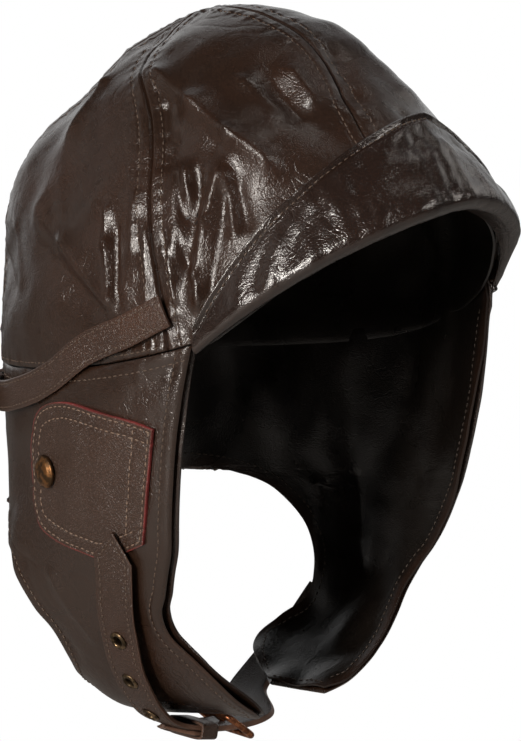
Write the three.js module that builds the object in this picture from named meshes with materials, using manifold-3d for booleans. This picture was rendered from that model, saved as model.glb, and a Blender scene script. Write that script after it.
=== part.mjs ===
// A leather flying helmet with a turned-up brim, ear flaps and a buckled chin strap.
// Millimetres, +Z up. The face looks along -Y and the wearer's left side is +X.
// The origin is the middle of the head opening, level with the temples.
import * as THREE from 'three';
import Module from 'manifold-3d';

const wasm = await Module();
wasm.setup();

// Head opening and crown
const HALF_WIDTH = 84;
const FRONT_DEPTH = 105;
const BACK_DEPTH = 108;
const CROWN_HEIGHT = 118.5;
const CROWN_FULLNESS = 1.1;
const APEX_RIGHT = 8;
const APEX_BACK = 13;

// Face opening: its height over the origin and the angles of its two lower corners
const FACE_HEIGHT = 51;
const FACE_HALF_ANGLE = 62;
const RIGHT_CORNER = 62;
const LEFT_CORNER = 51;
const FACE_FLARE = 9;
const FLARE_ROWS = 0.6;
const FACE_ARCH = 1.7;
const CORNER_GAP = 0.5;

// Ear flaps and neck, and how far the seam above them drops towards the back
const SKIRT_DROP = 154;
const SEAM_DROP = 20;
const SEAM_SWEEP = 3.5;
const SEAM_REACH = 5;

// Leather walls and the gap kept between two pieces
const LEATHER = 1.8;
const LINING = 0.9;
const CLEARANCE = 0.3;
const SEAM_GAP = 0.6;
const LINING_GAP = 0.5;

// Turned-up brim: how far its fold stands out, the band's height, how far its edge leans back
const BRIM_WALL = 2.4;
const BRIM_REACH = 15;
const BRIM_BAND = 32;
const BRIM_LEAN = 26;
const BRIM_LEFT_DROOP = 0.6;
const BRIM_LEFT_TUCK = 1.7;
const BRIM_LEFT_UPRIGHT = 5;
const BRIM_REACH_FADE = 0.8;
const BRIM_BAND_FADE = 0.72;
const BRIM_SEAT = 3.4;

// Ear patches and their snap buttons
const PATCH_WALL = 1.6;
const SNAP_DIAMETER = 12.5;
const SNAP_FLAT = 7;
const SNAP_HEIGHT = 2.6;

// Adjusting strap round the back of the head
const BACK_STRAP_WIDTH = 12;
const BACK_STRAP_WALL = 1.6;
const BACK_TAIL_LENGTH = 22;
const BACK_KEEPER_WIDTH = 9;

// Chin strap, its eyelets and its buckle
const CHIN_STRAP_WIDTH = 18;
const CHIN_STRAP_WALL = 2;
const CHIN_TIP_LENGTH = 11;
const EYELET_OUTER = 7.5;
const EYELET_HOLE = 4;
const EYELET_WALL = 0.6;
const EYELET_FLANGE = 0.8;
const KEEPER_WALL = 1.2;
const KEEPER_WIDTH = 8;
const BUCKLE_WINDOW = 12;
const BUCKLE_BAR = 2.6;
const BUCKLE_TILT = 38;
const PRONG_DIAMETER = 1.8;
const CHAPE_WALL = 1.8;
const CHAPE_LENGTH = 20;

// Fineness of the sheets
const PANEL_COLUMNS = 7;
const CROWN_ROWS = 13;
const SKIRT_COLUMNS = 10;
const BRIM_COLUMNS = 24;
const BRIM_ROWS = 8;
const PATCH_COLUMNS = 9;
const PATCH_ROWS = 5;
const STRAP_STEPS = 38;
const SNAP_SIDES = 16;
const EYELET_SIDES = 14;
const HOLE_SIDES = 12;

// Sizes that the folds' and the straps' tables are shares of
const FOLD_SIZE = 10;
const STRAP_EASE = 2;

// Sections of the form below the head opening, as shares of the skirt's drop and of the opening's size.
// A place on the form is an angle round the head, zero at the face, and a row:
// rows count down this table below the opening, and CROWN_SPAN rows reach from the opening to the apex.
const FORM_SECTIONS = [
  { drop: 0.0, side: 1.0, front: 1.0, back: 1.0 },
  { drop: 0.195, side: 1.0, front: 0.98, back: 1.0 },
  { drop: 0.39, side: 0.98, front: 0.95, back: 0.97 },
  { drop: 0.55, side: 0.94, front: 0.92, back: 0.955 },
  { drop: 0.68, side: 0.87, front: 0.885, back: 0.935 },
  { drop: 0.79, side: 0.75, front: 0.84, back: 0.905 },
  { drop: 0.89, side: 0.585, front: 0.8, back: 0.87 },
  { drop: 0.96, side: 0.37, front: 0.78, back: 0.835 },
  { drop: 1.0, side: 0.145, front: 0.76, back: 0.795 },
];
const CROWN_SPAN = 6;
const APEX_SHARE = 0.985;

// Angles of the six crown seams at equal steps from the lower edge to the apex: front, left, back left,
// back, back right and right. Each panel lies between a seam and the next one.
const CROWN_SEAMS = [
  { edge: -14, low: -14, middle: -10, high: -15, apex: -26 },
  { edge: 66, low: 70, middle: 74, high: 90, apex: 108 },
  { edge: 126, low: 128, middle: 130, high: 134, apex: 140 },
  { edge: 180, low: 180, middle: 181, high: 184, apex: 190 },
  { edge: 224, low: 223, middle: 223, high: 221, apex: 218 },
  { edge: 292, low: 287, middle: 281, high: 260, apex: 246 },
];
const CROWN_PANELS = ['front_left', 'side_left', 'back_left', 'back_right', 'side_right', 'front_right'];

// Folds and dents of the crown and flaps: from one place to another, half width and height over the form
// as shares of FOLD_SIZE.
const FOLDS = [
  { angle: -108, row: 1.45, toAngle: -82, toRow: 0.5, spread: 0.6, height: 0.22 },
  { angle: -104, row: 1.0, toAngle: -88, toRow: 0.35, spread: 0.6, height: -0.18 },
  { angle: -113, row: 4.1, toAngle: -107, toRow: 1.6, spread: 0.9, height: 0.26 },
  { angle: -84, row: 3.6, toAngle: -64, toRow: 3.0, spread: 0.7, height: 0.24 },
  { angle: -62, row: 2.9, toAngle: -44, toRow: 2.1, spread: 0.7, height: 0.3 },
  { angle: -72, row: 3.0, toAngle: -69, toRow: 2.3, spread: 0.8, height: -0.3 },
  { angle: -66, row: 2.0, toAngle: -66, toRow: 1.2, spread: 0.5, height: 0.22 },
  { angle: -62, row: 1.9, toAngle: -63, toRow: 0.8, spread: 0.5, height: -0.2 },
  { angle: -56, row: 2.0, toAngle: -60, toRow: 0.6, spread: 0.5, height: 0.24 },
  { angle: -36, row: 3.0, toAngle: -24, toRow: 2.5, spread: 1, height: -0.3 },
  { angle: -2, row: 3.6, toAngle: -10, toRow: 3.0, spread: 0.7, height: -0.3 },
  { angle: 26, row: 4.1, toAngle: 20, toRow: 2.9, spread: 0.8, height: 0.2 },
  { angle: 58, row: 2.2, toAngle: 62, toRow: 1.0, spread: 0.8, height: 0.2 },
  { angle: 96, row: 2.6, toAngle: 104, toRow: 1.0, spread: 0.9, height: -0.2 },
  { angle: 150, row: 2.4, toAngle: 154, toRow: 0.8, spread: 0.9, height: 0.2 },
  { angle: -156, row: 2.4, toAngle: -150, toRow: 0.9, spread: 0.9, height: -0.2 },
  { angle: -116, row: -2.7, toAngle: -110, toRow: -4.0, spread: 0.7, height: 0.16 },
  { angle: -117, row: -3.9, toAngle: -101, toRow: -6.1, spread: 2.6, height: 0.95 },
  { angle: -128, row: 1.8, toAngle: -130, toRow: 2.6, spread: 2.2, height: 0.36 },
  { angle: -118, row: 3.7, toAngle: -112, toRow: 4.5, spread: 1.6, height: -0.42 },
  { angle: -132, row: 3.1, toAngle: -146, toRow: 3.4, spread: 1.8, height: -0.38 },
  { angle: 44, row: 3.4, toAngle: 70, toRow: 4.6, spread: 1.8, height: -0.4 },
];

// Outlines of the flaps below the seam: front edge and rear edge at equal steps, rows counted downwards.
// The rear edge runs down the back, along the neck hem and down the back of the ear flap.
const RIGHT_FLAP = [
  { front: 65.5, frontRow: 1, rear: 180, rearRow: 1.65 },
  { front: 67, frontRow: 1.9, rear: 180, rearRow: 2.6 },
  { front: 67.5, frontRow: 2.3, rear: 165, rearRow: 2.61 },
  { front: 68, frontRow: 2.7, rear: 150, rearRow: 2.64 },
  { front: 69.5, frontRow: 3.1, rear: 136, rearRow: 2.74 },
  { front: 71, frontRow: 3.5, rear: 124, rearRow: 3.05 },
  { front: 73, frontRow: 3.9, rear: 115, rearRow: 3.6 },
  { front: 72.5, frontRow: 4.4, rear: 109, rearRow: 4.4 },
  { front: 68, frontRow: 5, rear: 108, rearRow: 5.2 },
  { front: 64.5, frontRow: 5.6, rear: 112, rearRow: 5.8 },
  { front: 63, frontRow: 6.2, rear: 111, rearRow: 6.35 },
  { front: 63, frontRow: 6.7, rear: 105, rearRow: 6.85 },
  { front: 65, frontRow: 7.05, rear: 94, rearRow: 7.25 },
];
const LEFT_FLAP = [
  { front: 54, frontRow: 0.75, rear: 180, rearRow: 1.65 },
  { front: 58.5, frontRow: 1.8, rear: 180, rearRow: 2.55 },
  { front: 61, frontRow: 2.25, rear: 165, rearRow: 2.55 },
  { front: 64.5, frontRow: 2.7, rear: 150, rearRow: 2.56 },
  { front: 67.5, frontRow: 3.15, rear: 134, rearRow: 2.66 },
  { front: 70.5, frontRow: 3.6, rear: 121, rearRow: 2.98 },
  { front: 73.5, frontRow: 4.05, rear: 112, rearRow: 3.55 },
  { front: 75, frontRow: 4.6, rear: 106, rearRow: 4.4 },
  { front: 74, frontRow: 5.2, rear: 105, rearRow: 5.15 },
  { front: 73.5, frontRow: 5.7, rear: 110, rearRow: 5.75 },
  { front: 73.5, frontRow: 6.2, rear: 113, rearRow: 6.3 },
  { front: 74, frontRow: 6.8, rear: 108, rearRow: 6.9 },
  { front: 77, frontRow: 7.35, rear: 96, rearRow: 7.5 },
];

// Outline of an ear patch, columns from its straight front side to its round back
const PATCH_OUTLINE = [
  { top: 70.5, topRow: 1.06, foot: 74, footRow: 2.58 },
  { top: 77, topRow: 0.98, foot: 79.5, footRow: 2.76 },
  { top: 85, topRow: 0.93, foot: 86, footRow: 2.92 },
  { top: 94, topRow: 0.88, foot: 94, footRow: 2.86 },
  { top: 101, topRow: 0.96, foot: 101.5, footRow: 2.74 },
  { top: 105.5, topRow: 1.15, foot: 106.5, footRow: 2.56 },
  { top: 108, topRow: 1.5, foot: 109, footRow: 2.26 },
];
const SNAP_PLACE = { angle: 102, row: 1.78 };

// Cross-section of the brim from the crown's edge, round the fold and up to the free edge.
// Reach, lean and rise are shares of the brim's sizes.
const BRIM_PROFILE = [
  { reach: -0.04, lean: 0.0, rise: 0.02 },
  { reach: 0.45, lean: 0.0, rise: 0.0 },
  { reach: 0.86, lean: 0.0, rise: 0.02 },
  { reach: 1.0, lean: 0.0, rise: 0.16 },
  { reach: 1.0, lean: 0.38, rise: 0.53 },
  { reach: 1.0, lean: 1.0, rise: 1.0 },
];

// Routes of the straps over the form: angle, row and height over the leather as a share of STRAP_EASE
const BACK_STRAP_RIGHT = [
  { angle: -68, row: 0.36, lift: 0.4 },
  { angle: -84, row: -0.12, lift: 0.3 },
  { angle: -100, row: -0.66, lift: 0 },
  { angle: -116, row: -0.95, lift: 0.75 },
  { angle: -130, row: -1.05, lift: 0.75 },
  { angle: -146, row: -1.1, lift: 0.25 },
];
const BACK_STRAP_LEFT = [
  { angle: 68, row: 0.36, lift: 0.3 },
  { angle: 84, row: -0.12, lift: 0.2 },
  { angle: 100, row: -0.66, lift: 0 },
  { angle: 130, row: -1, lift: 0 },
  { angle: 170, row: -1.1, lift: 0 },
  { angle: 198, row: -1.1, lift: 0.8 },
  { angle: 210, row: -1.1, lift: 1.9 },
  { angle: 224, row: -1.08, lift: 2.5 },
  { angle: 236, row: -1.05, lift: 2.7 },
];
const BACK_KEEPER_SHARE = 0.94;
const CHIN_STRAP_ROUTE = [
  { angle: -81, row: -2.42, lift: 1 },
  { angle: -82.5, row: -3.2, lift: 0.7 },
  { angle: -85, row: -4.1, lift: 0.5 },
  { angle: -88, row: -5.3, lift: 0.8 },
  { angle: -90, row: -6.4, lift: 1.2 },
  { angle: -90, row: -7.4, lift: 1.4 },
  { angle: 180, row: -8.0, lift: 1, middle: true },
  { angle: 106, row: -7.5, lift: 1.5 },
  { angle: 108, row: -6.7, lift: 0.8 },
  { angle: 106, row: -5.9, lift: 0.3 },
  { angle: 103, row: -4.9, lift: 0 },
];
const EYELET_SHARES = [0.2, 0.287, 0.374];
const CHIN_KEEPER_SHARE = 0.475;
const BUCKLE_SHARE = 0.545;

const degrees = THREE.MathUtils.degToRad;
const mix = THREE.MathUtils.lerp;
const clamp = THREE.MathUtils.clamp;

// A smooth value between the rows of a table, at a place counted in rows
function between(values, place) {
  const last = values.length - 1;
  const at = clamp(place, 0, last);
  const index = Math.min(Math.floor(at), last - 1);
  const share = at - index;
  const pick = (i) => values[clamp(i, 0, last)];
  const [a, b, c, d] = [pick(index - 1), pick(index), pick(index + 1), pick(index + 2)];
  const slope = (c - a) * share;
  const bend = (2 * a - 5 * b + 4 * c - d) * share ** 2;
  const turn = (3 * b - a - 3 * c + d) * share ** 3;
  return 0.5 * (2 * b + slope + bend + turn);
}

const column = (table, name) => table.map((row) => row[name]);
const sections = {
  drop: column(FORM_SECTIONS, 'drop'),
  side: column(FORM_SECTIONS, 'side'),
  front: column(FORM_SECTIONS, 'front'),
  back: column(FORM_SECTIONS, 'back'),
};

// The bare form without folds, at an angle and a row
function formPoint(angle, row) {
  const across = Math.sin(degrees(angle));
  const along = Math.cos(degrees(angle));
  if (row < 0) {
    const depth = along > 0
      ? FRONT_DEPTH * between(sections.front, -row)
      : BACK_DEPTH * between(sections.back, -row);
    const side = HALF_WIDTH * between(sections.side, -row);
    return new THREE.Vector3(side * across, -depth * along, -SKIRT_DROP * between(sections.drop, -row));
  }
  const girth = Math.cos((row / CROWN_SPAN) * (Math.PI / 2)) ** CROWN_FULLNESS;
  const x = HALF_WIDTH * across * girth - APEX_RIGHT * (1 - girth);
  const y = -(along > 0 ? FRONT_DEPTH : BACK_DEPTH) * along * girth + APEX_BACK * (1 - girth);
  const share = Math.min(1, Math.hypot(x / HALF_WIDTH, y / (y < 0 ? FRONT_DEPTH : BACK_DEPTH)));
  return new THREE.Vector3(x, y, CROWN_HEIGHT * Math.sqrt(1 - share ** (2 / CROWN_FULLNESS)));
}

function formNormal(angle, row) {
  const step = 0.01;
  const round = formPoint(angle + 1, row).sub(formPoint(angle - 1, row));
  const up = formPoint(angle, row + step).sub(formPoint(angle, row - step));
  return round.cross(up).normalize();
}

// The row at a height over the head opening
function rowAt(height) {
  if (height >= 0) return (CROWN_SPAN * 2 / Math.PI) * Math.asin(height / CROWN_HEIGHT);
  let [high, low] = [0, FORM_SECTIONS.length - 1];
  for (let i = 0; i < 30; i += 1) {
    const middle = (high + low) / 2;
    if (SKIRT_DROP * between(sections.drop, middle) < -height) high = middle;
    else low = middle;
  }
  return -high;
}

// Height of the crown's lower edge over the face, and of the seam round the sides and back
const turned = (angle) => THREE.MathUtils.euclideanModulo(angle + 180, 360) - 180;
const faceEdge = (angle) => FACE_HEIGHT * (1 - (Math.abs(angle) / FACE_HALF_ANGLE) ** FACE_ARCH);
const cornerOf = (angle) => (angle < 0 ? RIGHT_CORNER : LEFT_CORNER);

function seamHeight(angle) {
  const corner = cornerOf(angle);
  const top = Math.max(0, faceEdge(corner));
  const share = clamp((Math.abs(angle) - corner) / (180 - corner), 0, 1);
  return top - (top + SEAM_DROP) * (1 - (1 - share) ** SEAM_SWEEP);
}

function crownEdgeRow(angle) {
  const at = turned(angle);
  return rowAt(Math.abs(at) < cornerOf(at) ? faceEdge(at) : seamHeight(at));
}

const foldLines = FOLDS.map((fold) => ({
  line: new THREE.Line3(formPoint(fold.angle, fold.row), formPoint(fold.toAngle, fold.toRow)),
  spread: fold.spread * FOLD_SIZE,
  height: fold.height * FOLD_SIZE,
}));

// Height of the folds over the form, with the flare of the crown over the face
function relief(angle, row, point) {
  const nearest = new THREE.Vector3();
  let height = 0;
  for (const fold of foldLines) {
    const distance = fold.line.closestPointToPoint(point, true, nearest).distanceTo(point);
    height += fold.height * Math.exp(-((distance / fold.spread) ** 2));
  }
  const at = turned(angle);
  const middle = Math.max(0, 1 - (at / FACE_HALF_ANGLE) ** 2) ** 2;
  const over = Math.max(0, row - crownEdgeRow(at));
  if (row >= 0) height += FACE_FLARE * middle * Math.exp(-((over / FLARE_ROWS) ** 2));
  return height;
}

// A place on the leather's outer face, or a given height over it
function skin(angle, row, lift = 0) {
  const point = formPoint(angle, row);
  return point.addScaledVector(formNormal(angle, row), relief(angle, row, point) + lift);
}

// A closed sheet over a grid: place(u, v, lift) gives a point, top and foot are its two faces' lifts.
// With ring, the grid closes on itself in u; with apex, its last row is one point.
function sheetGeometry({ columns, rows, place, top, foot, ring = false, apex = false }) {
  const positions = [];
  const indices = [];
  const around = ring ? columns : columns + 1;
  const rings = apex ? rows : rows + 1;
  for (const lift of [top, foot]) {
    for (let j = 0; j < rings; j += 1) {
      for (let i = 0; i < around; i += 1) positions.push(place(i / columns, j / rows, lift));
    }
  }
  const face = around * rings;
  const at = (layer, i, j) => layer * face + j * around + (i % around);
  const quad = (a, b, c, d) => indices.push(a, b, c, a, c, d);
  for (let j = 0; j < rings - 1; j += 1) {
    for (let i = 0; i < columns; i += 1) {
      quad(at(0, i, j), at(0, i + 1, j), at(0, i + 1, j + 1), at(0, i, j + 1));
      quad(at(1, i, j), at(1, i, j + 1), at(1, i + 1, j + 1), at(1, i + 1, j));
    }
  }
  for (let i = 0; i < columns; i += 1) {
    quad(at(0, i + 1, 0), at(0, i, 0), at(1, i, 0), at(1, i + 1, 0));
    if (!apex) quad(at(0, i, rows), at(0, i + 1, rows), at(1, i + 1, rows), at(1, i, rows));
  }
  if (apex) {
    positions.push(place(0, 1, top), place(0, 1, foot));
    const [tip, under] = [2 * face, 2 * face + 1];
    for (let i = 0; i < columns; i += 1) {
      indices.push(at(0, i, rings - 1), at(0, i + 1, rings - 1), tip);
      indices.push(at(1, i + 1, rings - 1), at(1, i, rings - 1), under);
    }
  }
  if (!ring) {
    for (let j = 0; j < rows; j += 1) {
      quad(at(0, 0, j), at(0, 0, j + 1), at(1, 0, j + 1), at(1, 0, j));
      quad(at(0, columns, j + 1), at(0, columns, j), at(1, columns, j), at(1, columns, j + 1));
    }
  }
  return closedGeometry(positions, indices);
}

// Turns the faces outwards where the grid runs the other way round
function closedGeometry(positions, indices) {
  let volume = 0;
  for (let i = 0; i < indices.length; i += 3) {
    const [a, b, c] = [0, 1, 2].map((k) => positions[indices[i + k]]);
    volume += a.dot(new THREE.Vector3().crossVectors(b, c));
  }
  if (volume < 0) indices.reverse();
  const geometry = new THREE.BufferGeometry();
  const numbers = positions.flatMap((p) => p.toArray());
  geometry.setAttribute('position', new THREE.Float32BufferAttribute(numbers, 3));
  geometry.setIndex(indices);
  return geometry;
}

// Crown
function seamAngle(index, v) {
  const count = CROWN_SEAMS.length;
  const wrapped = ((index % count) + count) % count;
  const angles = Object.values(CROWN_SEAMS[wrapped]);
  return between(angles, v * (angles.length - 1)) + (index >= count ? 360 : 0);
}

function crownPlace(panel, share, v, lift) {
  const angle = mix(seamAngle(panel, v), seamAngle(panel + 1, v), share);
  const foot = crownEdgeRow(mix(seamAngle(panel, 0), seamAngle(panel + 1, 0), share));
  return skin(angle, mix(foot, CROWN_SPAN * APEX_SHARE, v), lift);
}

function crownPanel(panel) {
  return sheetGeometry({
    columns: PANEL_COLUMNS,
    rows: CROWN_ROWS,
    top: 0,
    foot: -LEATHER,
    place: (u, v, lift) => {
      const width = crownPlace(panel, 0, v, 0).distanceTo(crownPlace(panel, 1, v, 0));
      const inset = CLEARANCE / 2 / width;
      return crownPlace(panel, mix(inset, 1 - inset, u), v, lift);
    },
  });
}

function crownLining() {
  const top = -LEATHER - LINING_GAP;
  const apex = new THREE.Vector3(-APEX_RIGHT, APEX_BACK, skin(0, CROWN_SPAN * APEX_SHARE).z);
  return sheetGeometry({
    columns: PANEL_COLUMNS * CROWN_SEAMS.length,
    rows: CROWN_ROWS + 1,
    ring: true,
    apex: true,
    top,
    foot: top - LINING,
    place: (u, v, lift) => {
      if (v === 1) return apex.clone().setZ(apex.z + lift);
      const along = u * CROWN_SEAMS.length;
      const panel = Math.min(Math.floor(along + 1e-9), CROWN_SEAMS.length - 1);
      return crownPlace(panel, along - panel, v * (CROWN_ROWS + 1) / CROWN_ROWS, lift);
    },
  });
}

// Ear flaps with the neck half behind them
function flapPlace(side, outline, u, v, lift) {
  const corner = cornerOf(side) + CORNER_GAP;
  const seamRow = (angle) => -rowAt(seamHeight(side * angle) - SEAM_GAP);
  const first = { front: corner, frontRow: seamRow(corner), rear: 180, rearRow: seamRow(180) };
  const table = [first, ...outline];
  const at = v * (table.length - 1);
  const read = (name) => between(column(table, name), at);
  const middle = CLEARANCE / 2 / BACK_DEPTH * (180 / Math.PI);
  const angle = Math.min(180 - middle, mix(read('front'), read('rear'), u));
  const seam = seamRow(mix(first.front, first.rear, u)) - mix(first.frontRow, first.rearRow, u);
  const row = mix(read('frontRow'), read('rearRow'), u) + seam * Math.max(0, 1 - at / SEAM_REACH);
  return skin(side * angle, -row, lift);
}

function flap(side, outline, top, wall) {
  return sheetGeometry({
    columns: SKIRT_COLUMNS,
    rows: outline.length,
    top,
    foot: top - wall,
    place: (u, v, lift) => flapPlace(side, outline, u, v, lift),
  });
}

// Brim
function brimPlace(angle, v, lift) {
  const at = v * (BRIM_PROFILE.length - 1);
  const centre = (degree, place) => {
    const share = degree / FACE_HALF_ANGLE;
    const droop = degree > 0 ? BRIM_LEFT_DROOP * share : 0;
    const reach = BRIM_REACH * (1 - BRIM_REACH_FADE * share ** 2) * (1 - BRIM_LEFT_TUCK * droop);
    const upright = Math.max(0, 1 - BRIM_LEFT_UPRIGHT * droop ** 2);
    const lean = BRIM_LEAN * Math.max(0, 1 - share ** 2) * upright;
    const band = BRIM_BAND * (1 - BRIM_BAND_FADE * Math.abs(share) ** 5 - droop);
    const read = (name) => between(column(BRIM_PROFILE, name), place);
    const edge = skin(degree, crownEdgeRow(degree));
    const turn = degrees(degree);
    const out = new THREE.Vector3(Math.sin(turn) / HALF_WIDTH, -Math.cos(turn) / FRONT_DEPTH, 0).normalize();
    edge.addScaledVector(out, reach * read('reach') - lean * read('lean'));
    edge.z = faceEdge(degree) - BRIM_SEAT + band * read('rise');
    return edge;
  };
  const round = centre(angle + 0.5, at).sub(centre(angle - 0.5, at));
  const step = 0.05;
  const above = Math.min(at + step, BRIM_PROFILE.length - 1);
  const up = centre(angle, above).sub(centre(angle, Math.max(0, at - step)));
  return centre(angle, at).addScaledVector(round.cross(up).normalize(), lift);
}

function brim() {
  const [from, to] = [CORNER_GAP - RIGHT_CORNER, LEFT_CORNER - CORNER_GAP];
  return sheetGeometry({
    columns: BRIM_COLUMNS,
    rows: BRIM_ROWS,
    top: BRIM_WALL / 2,
    foot: -BRIM_WALL / 2,
    place: (u, v, lift) => brimPlace(mix(from, to, u), v, lift),
  });
}

// Ear patches and snap buttons
function earPatch(side) {
  const top = CLEARANCE + PATCH_WALL;
  return sheetGeometry({
    columns: PATCH_COLUMNS,
    rows: PATCH_ROWS,
    top,
    foot: CLEARANCE,
    place: (u, v, lift) => {
      const at = u * (PATCH_OUTLINE.length - 1);
      const read = (name) => between(column(PATCH_OUTLINE, name), at);
      const angle = mix(read('top'), read('foot'), v);
      return skin(side * angle, -mix(read('topRow'), read('footRow'), v), lift);
    },
  });
}

function placed(geometry, side, up, forward, point) {
  const basis = new THREE.Matrix4().makeBasis(side, up, forward);
  return geometry.applyMatrix4(basis.setPosition(point));
}

function snap(side) {
  const radius = SNAP_DIAMETER / 2;
  const rim = SNAP_HEIGHT * 0.4;
  const profile = [[0, 0], [radius, 0], [radius, rim], [SNAP_FLAT / 2, SNAP_HEIGHT], [0, SNAP_HEIGHT]];
  const geometry = new THREE.LatheGeometry(profile.map(([x, y]) => new THREE.Vector2(x, y)), SNAP_SIDES);
  const angle = side * SNAP_PLACE.angle;
  const up = formNormal(angle, -SNAP_PLACE.row);
  const across = new THREE.Vector3(0, 0, 1).cross(up).normalize();
  const point = skin(angle, -SNAP_PLACE.row, CLEARANCE + PATCH_WALL + CLEARANCE);
  return placed(geometry, across, up, new THREE.Vector3().crossVectors(across, up), point);
}

// Straps: a route of places on the form, then points, outward directions and a smooth line through them
function route(stations, wall, width) {
  const rest = CLEARANCE + width ** 2 / (8 * HALF_WIDTH) + wall / 2;
  const outs = stations.map((s) => (s.middle ? new THREE.Vector3(0, 0, -1) : formNormal(s.angle, s.row)));
  const points = stations.map((s, i) => {
    const ease = s.lift * STRAP_EASE + rest;
    const point = skin(s.angle, s.row, s.middle ? 0 : ease);
    if (s.middle) point.set(0, 0, point.z - ease);
    return point;
  });
  const curve = new THREE.CatmullRomCurve3(points, false, 'centripetal');
  curve.arcLengthDivisions = 400;
  return { curve, outs, length: curve.getLength() };
}

// The same route with stations close enough to follow the form round the head
function alongForm(stations, count) {
  const read = (name, at) => between(column(stations, name), at);
  return Array.from({ length: count + 1 }, (_, i) => {
    const at = (i / count) * (stations.length - 1);
    return { angle: read('angle', at), row: read('row', at), lift: read('lift', at) };
  });
}

// The line's frame at a share of its length: along, across and out
function frameAt({ curve, outs }, share) {
  const at = clamp(share, 0, 1);
  const place = curve.getUtoTmapping(at) * (outs.length - 1);
  const index = Math.min(Math.floor(place), outs.length - 2);
  const out = outs[index].clone().lerp(outs[index + 1], place - index);
  const along = curve.getTangentAt(at);
  const across = new THREE.Vector3().crossVectors(out, along).normalize();
  return { point: curve.getPointAt(at), along, across, out: new THREE.Vector3().crossVectors(along, across) };
}

function strap(line, { width, wall, steps, tip = 0, from = 0, to = 1, raise = 0, roundEnd = false }) {
  const halfAt = (share) => {
    const run = (share - from) * line.length;
    const pointed = tip > 0 ? clamp(mix(0.12, 1, run / tip), 0.12, 1) : 1;
    const end = roundEnd ? Math.sqrt(clamp(mix(0.2, 1, run / (width / 2)), 0.2, 1)) : 1;
    return (width / 2) * pointed * end;
  };
  return sheetGeometry({
    columns: 2,
    rows: steps,
    top: raise + wall / 2,
    foot: raise - wall / 2,
    place: (u, v, lift) => {
      const share = mix(from, to, v);
      const frame = frameAt(line, share);
      const point = frame.point.addScaledVector(frame.across, mix(-1, 1, u) * halfAt(share));
      return point.addScaledVector(frame.out, lift);
    },
  });
}

// Joins and cuts
function toSolid(geometry) {
  const positions = geometry.getAttribute('position').array;
  return new wasm.Manifold(new wasm.Mesh({
    numProp: 3,
    vertProperties: Float32Array.from(positions),
    triVerts: Uint32Array.from(geometry.getIndex().array),
  }));
}

function fromSolid(solid) {
  const mesh = solid.getMesh();
  const geometry = new THREE.BufferGeometry();
  geometry.setAttribute('position', new THREE.BufferAttribute(Float32Array.from(mesh.vertProperties), 3));
  geometry.setIndex(new THREE.BufferAttribute(Uint32Array.from(mesh.triVerts), 1));
  return geometry;
}

// A closed round bar or ring whose profile lies beside the axis
function turnedBody(profile, sides, frame) {
  const rows = profile.length;
  const positions = [];
  const indices = [];
  for (let i = 0; i < sides; i += 1) {
    const turn = (i / sides) * 2 * Math.PI;
    for (const [radius, height] of profile) {
      const point = frame.point.clone();
      point.addScaledVector(frame.across, radius * Math.cos(turn));
      point.addScaledVector(frame.along, radius * Math.sin(turn));
      positions.push(point.addScaledVector(frame.out, height));
    }
  }
  for (let i = 0; i < sides; i += 1) {
    for (let j = 0; j < rows; j += 1) {
      const [a, b] = [i * rows + j, i * rows + ((j + 1) % rows)];
      const [c, d] = [((i + 1) % sides) * rows + ((j + 1) % rows), ((i + 1) % sides) * rows + j];
      indices.push(a, b, c, a, c, d);
    }
  }
  return closedGeometry(positions, indices);
}

// A plain round bar along the frame's out direction
function bar(radius, from, to, sides, frame) {
  const positions = [];
  const indices = [];
  for (const height of [from, to]) {
    for (let i = 0; i < sides; i += 1) {
      const turn = (i / sides) * 2 * Math.PI;
      const point = frame.point.clone();
      point.addScaledVector(frame.across, radius * Math.cos(turn));
      point.addScaledVector(frame.along, radius * Math.sin(turn));
      positions.push(point.addScaledVector(frame.out, height));
    }
  }
  for (let i = 0; i < sides; i += 1) {
    const next = (i + 1) % sides;
    indices.push(i, next, sides + next, i, sides + next, sides + i);
    if (i > 0 && next > 0) indices.push(0, next, i, sides, sides + i, sides + next);
  }
  return closedGeometry(positions, indices);
}

// A flat ring round a strap: its window, wall and depth
function loopGeometry(width, height, wall, depth, frame, plane) {
  const corner = Math.min(wall, height / 2);
  const rounded = (shape, halfWidth, halfHeight, radius) => {
    shape.moveTo(halfWidth - radius, -halfHeight);
    shape.absarc(halfWidth - radius, -halfHeight + radius, radius, -Math.PI / 2, 0);
    shape.absarc(halfWidth - radius, halfHeight - radius, radius, 0, Math.PI / 2);
    shape.absarc(-halfWidth + radius, halfHeight - radius, radius, Math.PI / 2, Math.PI);
    shape.absarc(-halfWidth + radius, -halfHeight + radius, radius, Math.PI, Math.PI * 1.5);
    return shape;
  };
  const outer = rounded(new THREE.Shape(), width / 2 + wall, height / 2 + wall, corner * 1.3);
  outer.holes.push(rounded(new THREE.Path(), width / 2, height / 2, corner * 0.4));
  const geometry = new THREE.ExtrudeGeometry(outer, { depth, bevelEnabled: false, curveSegments: 2 });
  geometry.translate(0, 0, -depth / 2);
  const normal = new THREE.Vector3().crossVectors(frame.across, plane);
  return placed(geometry, frame.across, plane, normal, frame.point);
}

// Chin strap and what it carries
const chinLine = route(CHIN_STRAP_ROUTE, CHIN_STRAP_WALL, CHIN_STRAP_WIDTH);
const eyeletBarrel = EYELET_HOLE / 2 + EYELET_WALL;

function buckleFrame() {
  const frame = frameAt(chinLine, BUCKLE_SHARE);
  const tilt = degrees(BUCKLE_TILT);
  const plane = frame.along.clone().multiplyScalar(Math.cos(tilt)).addScaledVector(frame.out, Math.sin(tilt));
  return { ...frame, plane };
}

function buckleRing() {
  const frame = buckleFrame();
  const width = CHIN_STRAP_WIDTH + 2 * CLEARANCE;
  return loopGeometry(width, BUCKLE_WINDOW, BUCKLE_BAR, BUCKLE_BAR, frame, frame.plane);
}

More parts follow.
